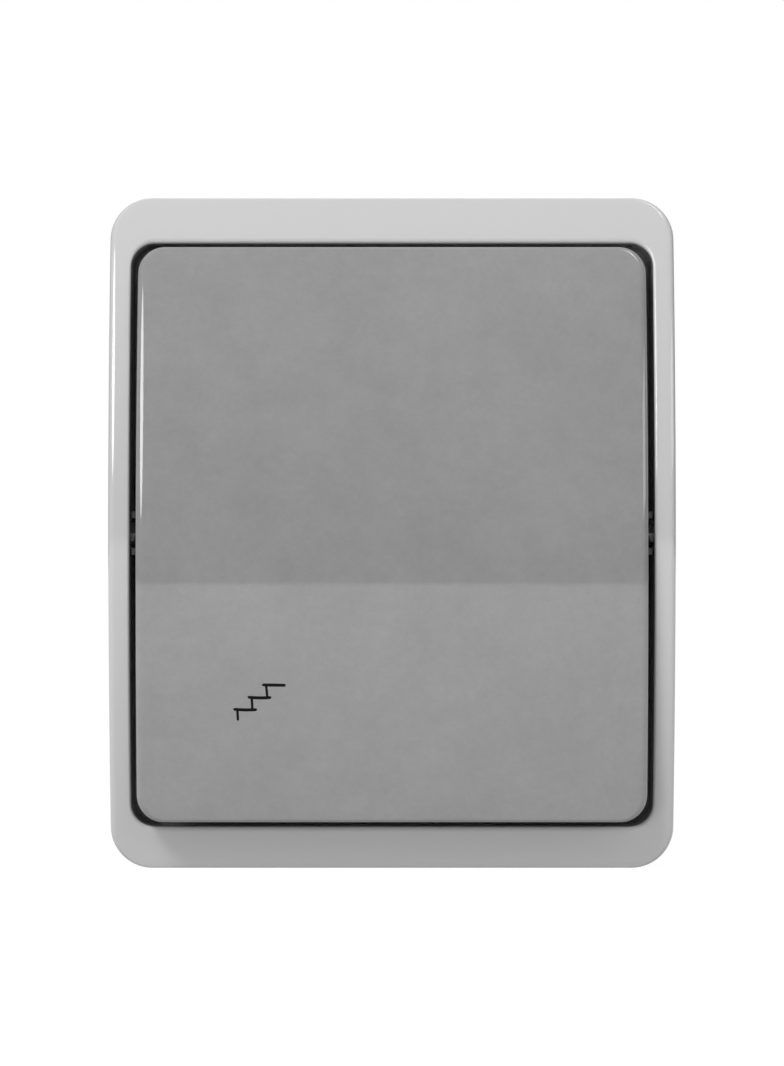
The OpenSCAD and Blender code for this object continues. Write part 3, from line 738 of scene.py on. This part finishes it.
def stroke(start, end, width, sag=0.0, steps=28, around=12):
    """A ribbon from start to end. Along it s runs from -1 to 1 and its middle line sags by
    sag * (1 - s^2). Its half width is width / 2 * (1 - s^12)^(1/2), which rounds the ends."""
    s = np.sin(np.linspace(-pi / 2, pi / 2, steps))[:, None]
    start, end = np.array(start), np.array(end)
    along = (end - start) / hypot(*(end - start))
    middle = (start + end) / 2 + (end - start) / 2 * s - np.array((0, sag)) * (1 - s ** 2)
    half = width / 2 * np.sqrt(1 - np.abs(s) ** 12) + 0.002
    turn = full_turn(around)
    offset = half[..., None] * np.cos(turn)[None, :, None] * np.array((-along[1], along[0]))
    x, y = np.moveaxis(middle[:, None, :] + offset, -1, 0)
    lift = np.where(np.sin(turn) > 1e-9, print_high, print_low)
    rings = np.stack((x, y, arch(key_crest, arch_r)(y) + lift), axis=-1)
    return skin(rings, first_pole=rings[0].mean(axis=0), last_pole=rings[-1].mean(axis=0))


def sign_strokes():
    """Treads from the lowest to the highest, each with the riser under its left end."""
    strokes = []
    for step, lean, sag, foot in ((-1, 0.07, 0.05, 0.13), (0, 0.07, 0.07, 0.02),
                                  (1, 0.13, 0.0, 0.02)):
        x, y = sign_x + step * step_w, sign_y + step * step_h
        left, right = x - tread_l / 2, x + tread_l / 2
        strokes.append(stroke((left, y + 0.04), (right, y), line_w, sag))
        riser_x = left + nosing
        strokes.append(stroke((riser_x, y), (riser_x + lean, y - step_h + foot), riser_w))
    return strokes


new_piece("stair_sign", tilted(together(*sign_strokes())), sign_ink, "stair_symbol")

# %% [markdown]
# ## The back box
# The box goes on the wall and carries everything. It is a tray with a rounded back edge, a
# fine groove where the cover meets it, and a tongue that the cover slides over.

# %% Box sizes
box_wall, back_t = 2.2, 2.5
tongue_in, tongue_top, tongue_edge = lap_t + 0.1, joint_d + lap_d - 1, 0.15
back_round, floor_round = 0.6, 0.6
entry_d, entry_r, flange_w = joint_d / 2 + 0.5, 8, 1.3
wall_hole_y, wall_hole_r, collar_r, collar_top = 30, 2.25, 4.5, back_t + 1.5
ear_x, ear_d, ear_r, pillar_r = 24.5, 20, 3.5, 3.75
bore_r, bore_l, foot_d, collar_foot = 1.5, 13, back_t - 0.5, back_t - 0.3
print(f"cable entries of radius {entry_r} mm at depth {entry_d:.1f} mm")


# %% Box shell
def inset_outline(inset):
    """The outline of the box, made smaller by an inset."""
    return outline(body_w - 2 * inset, body_h - 2 * inset, corner_r - inset)


def box_surface():
    """From the middle of the back, round its edge, up the outside to the groove, over the
    tongue, down the inside and over the floor to its middle."""
    outer, inner = inset_outline(0), inset_outline(box_wall)
    back, back_pole = dish(inset_outline(back_round), flat(0), (0.3, 0.6, 0.85))
    level = inset_outline(box_wall + floor_round)
    floor_rings, floor_pole = dish(level, flat(back_t), (0.85, 0.6, 0.3))
    rings = back + rounding(outer, back_round, flat(0), quarter(6)[::-1], side=1)
    rings += spread(rings[-1], ring(outer, 0, joint_d - seam), 5)
    rings += [
        ring(outer, 0, joint_d - seam),
        ring(outer, seam, joint_d),
        ring(outer, tongue_in, joint_d),
        ring(outer, tongue_in, tongue_top - CHAMFER),
        ring(outer, tongue_in + CHAMFER, tongue_top),
        ring(outer, box_wall - tongue_edge, tongue_top),
        ring(outer, box_wall, tongue_top - tongue_edge),
        ring(outer, box_wall, back_t + floor_round),
    ]
    rings += rounding(inner, floor_round, flat(back_t), quarter(4)[1:], side=1)
    return skin(rings + floor_rings, first_pole=back_pole, last_pole=floor_pole)


box = mesh_object("box_shell", box_surface())

# %% [markdown]
# The cable entries and the wall-screw holes are cut out of the tray. What stands up inside
# it, the pillars for the cover's screws, the bosses for the insert and the collars round
# the wall screws, are turned shapes with their bores, added to the same mesh.

# %% Box holes and pillars
def at_entry(surface, side):
    """Takes a turned shape to the upper (1) or the lower (-1) cable entry, facing out."""
    facing = surface if side > 0 else flipped(surface)
    return moved(facing, y=side * body_h / 2, z=entry_d, along="y")


def boss(r, bore_low, high):
    """A pillar with a blind bore from above and a small chamfer at both of its upper edges."""
    return lathe([(0, foot_d), (r, foot_d), (r, high - CHAMFER), (r - CHAMFER, high),
                  (bore_r + CHAMFER, high), (bore_r, high - CHAMFER), (bore_r, bore_low),
                  (0, bore_low)], 56)


entry_cuts = [rod(entry_r, -5, 1), rod(entry_r + flange_w, -1, 1)]
box_cuts = [at_entry(cut, side) for side in (1, -1) for cut in entry_cuts]
box_cuts += [moved(rod(wall_hole_r, -1, back_t + 1), y=s * wall_hole_y) for s in (-1, 1)]
for cut in box_cuts:
    cut_away(box, cut)
collar = [(wall_hole_r, collar_foot), (collar_r, collar_foot), (collar_r, collar_top - CHAMFER),
          (collar_r - CHAMFER, collar_top), (wall_hole_r + CHAMFER, collar_top),
          (wall_hole_r, collar_top - CHAMFER)]
inside = [moved(lathe(collar, 56, closed=True), y=s * wall_hole_y) for s in (-1, 1)]
for s in (-1, 1):
    pillar = boss(pillar_r, deck_d - bore_l, deck_d - 0.1)
    inside.append(moved(pillar, -s * pillar_x, s * pillar_y))
    inside.append(moved(boss(ear_r, ear_d - bore_l, ear_d), s * ear_x))
add_parts(box, *inside)
fit_piece(box, housing_grey, "base_box")

# %% [markdown]
# ## Rubber
# The upper grommet has a funnel that guides a cable in, and the lower one keeps a thin
# membrane with rings, which is cut to the cable's size when it is needed. Both sit flush in
# the box, so that it can stand on its end.

# %% Grommets
cable_r, funnel_r = 4.2, 1.2
flange_r, neck_r, collar_in_r = entry_r + flange_w - 0.05, entry_r - 0.05, entry_r + 0.9
grommet_back, membrane_d, membrane_r = -box_wall - 1, -0.8, entry_r - 1.5
inner_round, outer_round = 0.25, 0.35


def grommet_rim():
    """The part both grommets share, from the inner flange out to the edge of the outer one."""
    return (edge_arc(collar_in_r - inner_round, grommet_back + inner_round, inner_round, -90, 0)
            + [(collar_in_r, -box_wall), (neck_r, -box_wall), (neck_r, -1), (flange_r, -1)]
            + edge_arc(flange_r - outer_round, -outer_round, outer_round, 0, 90))


def ripple_rings(middles, half=0.28, deep=0.16):
    """Shallow round grooves in the outer face, given by their middle radii, outermost first."""
    steps = ((half, 0), (half / 2, -deep), (-half / 2, -deep), (-half, 0))
    return [(r + step, z) for r in middles for step, z in steps]


funnel = [(5.6, 0)] + edge_arc(cable_r + funnel_r, -funnel_r, funnel_r, 100, 180, 8)
open_rim = [(cable_r, grommet_back)] + grommet_rim() + ripple_rings((7.6, 6.6)) + funnel
closed_rim = [(0, membrane_d), (membrane_r, membrane_d), (membrane_r, grommet_back)]
closed_rim += grommet_rim() + ripple_rings((7.3, 6.0, 4.7, 3.4, 2.1))
closed_rim += [(0.7, 0), (0.35, -0.2), (0, -0.25)]
upper, lower = lathe(open_rim, 72, closed=True), lathe(closed_rim, 72)
new_piece("grommet_upper", at_entry(upper, 1), seal_grey, "cable_grommet_top")
new_piece("grommet_lower", at_entry(lower, -1), seal_grey, "cable_grommet_bottom")

# %% [markdown]
# Two flat seals close the box against the cover, and the insert against the cover's deck.
# Each is a band of even width, and its edges bulge a little, as squeezed rubber does.

# %% Flat seals
insert_w, insert_h, insert_r, band_w = 40, 40, 2, 1.9


def flat_seal(shape, outer_in, inner_in, low, high, bulge=0.12):
    """A closed band between two insets, whose two edges bulge by bulge * sin(t)."""
    rings = []
    there, back = np.linspace(0, pi, 6), np.linspace(pi, 0, 6)
    for inset, way, turn in ((outer_in, -1, there), (inner_in, 1, back)):
        for t in turn:
            depth = low + (high - low) * (1 - cos(t)) / 2
            rings.append(ring(shape, inset + way * bulge * (sin(t) - 1), depth))
    return skin(rings, closed=True)


box_band = flat_seal(inset_outline(0), tongue_in, box_wall, tongue_top, tongue_top + 1)
new_piece("box_seal_ring", box_band, seal_grey, "box_seal")
insert_band = flat_seal(outline(insert_w, insert_h, insert_r), 0, band_w, deck_d - 1, deck_d)
new_piece("insert_seal_ring", insert_band, seal_grey, "insert_seal")

# %% [markdown]
# ## Screws
# The cover and the insert are held by pan-head screws with a cross recess. Their thread is a
# surface of two parameters: the radius at height z and angle a follows z / pitch - a / (2 pi),
# so the ridge climbs by one pitch in each turn and fades out at both ends.

# %% Threads and heads
SHANK_SIDES = 28


def threaded(r, low, high, pitch=1.1, deep=0.22):
    """Rings of a threaded shank. radius = r - deep * ridge * fade, where ridge is a rounded
    wave of z / pitch - a / (2 pi) and fade runs to 0 at the two ends."""
    z = np.linspace(low, high, int((high - low) / pitch * 9))[:, None]
    a = full_turn(SHANK_SIDES)[None, :]
    wave = 0.5 - 0.5 * np.cos(2 * pi * (z / pitch) - a)
    start = np.clip((z - low) / pitch, 0, 1)
    fade = start * np.clip((high - z) / pitch, 0, 1)
    return polar(r - deep * wave ** 0.7 * fade - 0.3 * r * (1 - start), a, z)


def pan_screw(seat, length, r, head_r, head_t):
    """A threaded shank under a domed head with a rounded rim."""
    dome_r = 2.4 * head_r
    dome = edge_arc(0, seat + head_t - dome_r, dome_r, 68, 89, 6)
    head = [(r, seat)] + edge_arc(head_r - 0.2, seat + 0.2, 0.2, -90, 0)
    head += edge_arc(head_r - 0.35, dome[0][1] - 0.1, 0.35, 0, 60)
    shank = threaded(r, seat - length, seat - 0.5)
    rings = np.concatenate((shank, turned(head + dome, SHANK_SIDES)))
    return skin(rings, first_pole=(0, 0, seat - length - 0.3), last_pole=(0, 0, seat + head_t))


def cross_recess(seat, head_r, head_t):
    """Two crossed tapering wedges, one turned by a right angle."""
    low = (head_r * 0.7, head_r * 0.16, seat + head_t * 0.35)
    high = (head_r * 1.25, head_r * 0.3, seat + head_t + 0.5)
    points, faces = block(low, high)
    return (points, faces), (points[:, (1, 0, 2)] * np.array((-1, 1, 1)), faces)


def screw_piece(name, node, x, y, seat, length, r=1.45, head_r=2.8, head_t=1.6):
    """A pan-head screw at (x, y) whose head stands on the depth seat."""
    piece = mesh_object(name, moved(pan_screw(seat, length, r, head_r, head_t), x, y))
    for wedge in cross_recess(seat, head_r, head_t):
        cut_away(piece, moved(wedge, x, y))
    fit_piece(piece, zinc_steel, node)


cover_screw_l, insert_screw_l, ear_t = 12.8, 12, 2
screw_piece("cover_screw_a", "cover_screw_upper", -pillar_x, pillar_y, deck_top, cover_screw_l)
screw_piece("cover_screw_b", "cover_screw_lower", pillar_x, -pillar_y, deck_top, cover_screw_l)
screw_piece("insert_screw_a", "insert_screw_left", -ear_x, 0, ear_d + ear_t, insert_screw_l)
screw_piece("insert_screw_b", "insert_screw_right", ear_x, 0, ear_d + ear_t, insert_screw_l)

# %% [markdown]
# ## The mechanism
# The moulded and stamped parts inside already have their true shape in the frame. What they
# lack is the soft edge that every moulding and stamping has, so a copy of each is joined up,
# its flat faces are merged, and a narrow bevel runs along its sharp edges.

# %% Soft-edged copies
def soft_copy(name, node, material, bevel):
    """A merged copy of a node with a bevel of the given width in millimetres."""
    work = bmesh.new()
    work.from_mesh(frame["nodes"][node].data)
    bmesh.ops.remove_doubles(work, verts=work.verts, dist=0.002 * MM)
    bmesh.ops.dissolve_limit(work, angle_limit=radians(0.5), verts=work.verts, edges=work.edges)
    mesh = bpy.data.meshes.new(name)
    work.to_mesh(mesh)
    work.free()
    shade(mesh)
    piece = linked(name, mesh)
    step = piece.modifiers.new("soft edges", "BEVEL")
    step.width = bevel * MM
    step.segments = 2
    step.limit_method = "ANGLE"
    step.angle_limit = radians(40)
    step.harden_normals = True
    fit_piece(piece, material, node)


soft_copy("insert_tray", "insert_body", insert_black, 0.2)
soft_copy("insert_lid", "insert_cover", insert_black, 0.15)
soft_copy("cradle_moulding", "cradle", cradle_white, 0.15)
for name, node in (("common_brass", "common_strip"), ("upper_brass", "contact_strip_upper"),
                   ("lower_brass", "contact_strip_lower"), ("tipping_blade", "contact_rocker")):
    soft_copy(name, node, stamped_brass, 0.08)
for way in ("common", "upper", "lower"):
    soft_copy(f"{way}_clamp", f"terminal_cage_{way}", stamped_brass, 0.25)

# %% [markdown]
# The clamp screws press the wires down in their clamps. They have a slotted cheese head,
# straight at its side and rounded at its rim, a finer thread, and stand a little undone.

# %% Clamp screws
insert_floor, cage_t, wire_hole_r = 9.5, 10, 1.8
terminal_x, terminal_y = 13.5, 12
clamp_seat = insert_floor + cage_t + 1.4
shank_end = insert_floor + 3 * wire_hole_r + 0.3
head_r, head_t, head_round, slot_w = 2.3, 1.8, 0.3, 0.6


def cheese_screw():
    """A threaded shank under a straight head with a rounded upper rim."""
    shank = threaded(1.5, shank_end, clamp_seat, pitch=0.7, deep=0.18)
    head = [(head_r - 0.1, clamp_seat), (head_r, clamp_seat + 0.1)]
    head += edge_arc(head_r - head_round, clamp_seat + head_t - head_round, head_round, 0, 90)
    rings = np.concatenate((shank, turned(head, SHANK_SIDES)))
    return skin(rings, first_pole=(0, 0, shank_end), last_pole=(0, 0, clamp_seat + head_t))


slot = brick(2 * head_r + 1, slot_w, clamp_seat + head_t / 2, clamp_seat + head_t + 1)
for way, sx, sy in (("common", -1, 1), ("upper", 1, 1), ("lower", 1, -1)):
    x, y = sx * terminal_x, sy * terminal_y
    piece = mesh_object(f"{way}_clamp_screw", moved(cheese_screw(), x, y))
    cut_away(piece, moved(slot, x, y))
    fit_piece(piece, zinc_steel, f"terminal_screw_{way}")

# %% [markdown]
# The contact tips are silver buttons riveted to the strips and to the wings of the blade.
# Two domes always meet in one point, wherever the blade stands, so each tip is a slice of a
# ball on a short upright rim. The moving ones are made on a level wing and tipped with it.

# %% Contact tips
tip_r, tip_t = 1.6, 1.0
fulcrum_d, valley_h, blade_tilt, brass_t, tip_y = 16.2, 2.5, radians(12), 0.8, 9
fixed_y = tip_y + valley_h * sin(blade_tilt)
strip_top = fulcrum_d + valley_h * cos(blade_tilt) - brass_t - 2 * tip_t - 0.1


def tip_surface():
    """A low dome: its rim is upright, and its top is part of a sphere of 2.5 times its radius."""
    ball = 2.5 * tip_r
    dome = edge_arc(0, tip_t - ball, ball, degrees(acos(tip_r / ball)), 89, 8)
    return lathe([(0, 0), (tip_r, 0)] + dome + [(0, tip_t)], 48)


def on_wing(points, side):
    """From a wing's own frame to the bench: up or down, tilted, and tipped with the blade."""
    raised = tipped(points, blade_tilt, 0) + np.array((0, 0, valley_h))
    if side < 0:
        raised = raised * np.array((-1, -1, 1))
    return tipped(raised + np.array((0, 0, fulcrum_d)), blade_tilt, fulcrum_d)


for way, side in (("upper", 1), ("lower", -1)):
    fixed = moved(tip_surface(), y=side * fixed_y, z=strip_top)
    new_piece(f"{way}_fixed_silver", fixed, silver_face, f"fixed_tip_{way}")
    points, faces = moved(flipped(tip_surface()), y=tip_y, z=-brass_t)
    moving = on_wing(points, side), faces
    new_piece(f"{way}_moving_silver", moving, silver_face, f"moving_tip_{way}")

# %% [markdown]
# The plunger and its spring sit in the cradle's tube and lean with it. The spring is a wire
# swept along a helix: a ring of the wire's radius is carried along the centre line, in the
# plane of its outward normal and its binormal.

# %% Plunger and spring
cradle_axis_d, plunger_travel = 30.5, 0.6
tube_end, tube_top, tube_bore_r = cradle_axis_d - 8.5, cradle_axis_d + 0.5, 2.15
nose_r, nose_end = 1, fulcrum_d + valley_h + 0.1
wire_r, spring_turns, closed_climb = 0.22, 6, 0.45
shoulder_back = tube_end + 0.3
shoulder_top = shoulder_back + 1.1
spigot_r, spigot_top = tube_bore_r - 2 * wire_r - 0.5, shoulder_top + 2.6


def plunger_surface():
    """Nose, neck, shoulder and spigot as one turned shape with rounded edges."""
    edge, spigot_edge = 0.15, 0.3
    rim = tube_bore_r - 0.06 - edge
    profile = [(0, nose_end)] + edge_arc(0, nose_end + nose_r, nose_r, -90, 0, 10)[1:]
    profile.append((nose_r, shoulder_back))
    profile += edge_arc(rim, shoulder_back + edge, edge, -90, 0, 3)
    profile += edge_arc(rim, shoulder_top - edge, edge, 0, 90, 3)
    profile.append((spigot_r, shoulder_top))
    profile += edge_arc(spigot_r - spigot_edge, spigot_top - spigot_edge, spigot_edge, 0, 90)
    return lathe(profile + [(0, spigot_top)], 48)


def spring_surface(steps=220, around=12):
    """The helix (r cos a, r sin a, z) with the wire's circle carried along it. The first and
    the last turn are nearly closed: there the climb is less than half of the middle's."""
    s = np.linspace(0, 1, steps)
    low, high = shoulder_top + wire_r + 0.05, tube_top - wire_r - 0.05
    end_turn = (s < 1 / spring_turns) | (s > 1 - 1 / spring_turns)
    climb = np.where(end_turn, closed_climb, 1.0)
    height = np.concatenate(([0], np.cumsum((climb[1:] + climb[:-1]) / 2)))
    a = 2 * pi * spring_turns * s
    middle = polar(tube_bore_r - wire_r - 0.12, a, low + (high - low) * height / height[-1])
    tangent = np.gradient(middle, axis=0)
    tangent /= np.linalg.norm(tangent, axis=1, keepdims=True)
    outward = polar(1, a, 0 * a)[:, None]
    across = np.cross(tangent[:, None], outward)
    b = full_turn(around)[None, :, None]
    wire = wire_r * (np.cos(b) * outward + np.sin(b) * across)
    return skin(middle[:, None] + wire, first_pole=middle[0], last_pole=middle[-1])


leaning_plunger = tilted(plunger_surface(), cradle_axis_d)
new_piece("plunger_moulding", leaning_plunger, cradle_white, "spring_plunger")
leaning_coil = tilted(spring_surface(), cradle_axis_d)
spring = new_piece("coil_spring", leaning_coil, spring_wire, "contact_spring")
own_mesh(spring)

# %% [markdown]
# ## Light
# A glossy arch is a mirror for whatever stands around it. The pale floor reaches the
# horizon, so the lower part of the key shows it. A dark dome, which only mirrors see, stands
# for the unlit room and takes the upper part: the edge between the two is the horizon. From
# below the floor is clear, so that the switch can be looked at from there too.

# %% Floor
def seen_directly(tree):
    """1 for rays from the camera, from mirrors and through glass, and 0 for the others."""
    path = add_node(tree, "LightPath").outputs
    total = path["Is Camera Ray"]
    for label in ("Is Glossy Ray", "Is Transmission Ray"):
        total = add_node(tree, "Math", total, path[label], operation="MAXIMUM").outputs[0]
    return total


def floor_material(seen_grey, bounce_grey, glow_strength, glow_share):
    """A matte floor. The camera, mirrors and glass see a share of it as plain white, and the
    rest keeps the shadow of what stands on it. All other light meets the bounce grey."""
    material = bpy.data.materials.new("pale floor")
    material.use_nodes = True
    tree = material.node_tree
    tree.nodes.clear()
    seen = seen_directly(tree)
    dim, pale = ((grey, grey, grey, 1) for grey in (bounce_grey, seen_grey))
    tint = add_node(tree, "Mix", data_type="RGBA", Factor=seen, A=dim, B=pale)
    matte = add_node(tree, "BsdfDiffuse", Color=tint.outputs["Result"])
    glow = add_node(tree, "Emission", Strength=glow_strength)
    share = add_node(tree, "Math", seen, glow_share, operation="MULTIPLY")
    above = add_node(tree, "MixShader", share.outputs[0], matte.outputs[0], glow.outputs[0])
    below = add_node(tree, "NewGeometry").outputs["Backfacing"]
    clear = add_node(tree, "BsdfTransparent")
    one_way = add_node(tree, "MixShader", below, above.outputs[0], clear.outputs[0])
    add_node(tree, "OutputMaterial", Surface=one_way.outputs[0])
    return material


def backdrop(name, points, faces, material):
    """A part of the studio, in metres."""
    mesh = bpy.data.meshes.new(name)
    mesh.from_pydata(points, [], faces)
    mesh.materials.append(material)
    made = linked(name, mesh)
    return made


floor_z, far = (-body_h / 2 - 0.1) * MM, 60
corners = [(sx * far, sy * far, floor_z) for sx, sy in ((-1, -1), (1, -1), (1, 1), (-1, 1))]
pale_floor = floor_material(seen_grey=0.9, bounce_grey=0.36, glow_strength=1.063, glow_share=0.9)
backdrop("floor", corners, [[0, 1, 2, 3]], pale_floor)


# %% Dark room
def dome(radius, reach, rim, columns=60, rows=24):
    """Part of a ball round the switch: at azimuth a and elevation e its point is
    radius * (cos e sin a, -cos e cos a, sin e). It reaches that far to both sides of the
    camera, from its rim up to the top."""
    a = np.radians(np.linspace(-reach, reach, columns + 1))
    e = np.linspace(asin(rim / radius), pi / 2, rows + 1)[:, None]
    x, y, z = np.cos(e) * np.sin(a), -np.cos(e) * np.cos(a), np.sin(e) + 0 * a
    points = (radius * np.stack((x, y, z), axis=-1)).reshape(-1, 3)
    first = (np.arange(rows)[:, None] * (columns + 1) + np.arange(columns)).reshape(-1, 1)
    return points, (first + np.array((0, 1, columns + 2, columns + 1))).tolist()


dark = plain_material("dark room", Base_Color=(0, 0, 0, 1), Roughness=1, Specular_IOR_Level=0)
room = backdrop("dark_room_side", *dome(radius=1.6, reach=172, rim=-0.0225), dark)
room.visible_camera = False
room.visible_diffuse = False
room.visible_shadow = False
room.visible_transmission = False

# %% [markdown]
# Gloss and matte grey are lit apart, as with polarising filters in a studio. Four soft boxes
# reach only matte surfaces: the main one high on the left, a low one under it, and two weak
# ones on the right. Three others show only as mirror images: the highlights on the left edge,
# on the right edge and on the upper right corner. The white world is the background, and
# gives a plain level of light from all around.

# %% World and lamps
def room_light(strength):
    """A white world for the camera and for mirrors, and a plain level for all other light."""
    world = bpy.data.worlds.new("room")
    world.use_nodes = True
    bpy.context.scene.world = world
    tree = world.node_tree
    tree.nodes.clear()
    level = add_node(tree, "Mix", data_type="FLOAT", Factor=seen_directly(tree), A=strength, B=1)
    back = add_node(tree, "Background", Color=(1, 1, 1, 1), Strength=level.outputs["Result"])
    add_node(tree, "OutputWorld", Surface=back.outputs[0])


def soft_box(name, lights, azimuth, elevation, away, w, h, radiance, shape="RECTANGLE"):
    """An area lamp that faces the middle of the switch and lights only what is matte or only
    what is a mirror. Azimuth is counted from straight in front, to the right. Its power
    follows from its radiance: power = radiance * pi * area."""
    lamp = bpy.data.lights.new(name, "AREA")
    lamp.shape = shape
    lamp.size, lamp.size_y = w, h
    area = w * h * (pi / 4 if shape == "ELLIPSE" else 1)
    lamp.energy = radiance * pi * area
    made = linked(name, lamp)
    a, e = radians(azimuth), radians(elevation)
    made.location = (away * cos(e) * sin(a), -away * cos(e) * cos(a) - 0.04, away * sin(e))
    made.rotation_euler = (pi / 2 - e, 0, a)
    made.visible_glossy = lights == "mirrors"
    made.visible_diffuse = lights == "matte"
    print("lamp:", name)


room_light(0.5)
soft_box("main_soft_box", "matte", -37, 46, 1.3, 0.37, 0.37, 19.9)
soft_box("low_left_box", "matte", -32, 8, 1.3, 0.4, 0.3, 8.7)
soft_box("high_right_box", "matte", 35, 40, 1.3, 0.5, 0.5, 1.45)
soft_box("side_right_box", "matte", 70, 15, 1.3, 0.5, 0.5, 3.1)
soft_box("left_strip_box", "mirrors", -34, 17.5, 1.2, 0.92, 0.5, 8.5, "ELLIPSE")
soft_box("right_strip_box", "mirrors", 57, 12, 1.2, 0.9, 0.26, 2.5)
soft_box("corner_box", "mirrors", 22, 48, 1.2, 0.3, 0.3, 8)
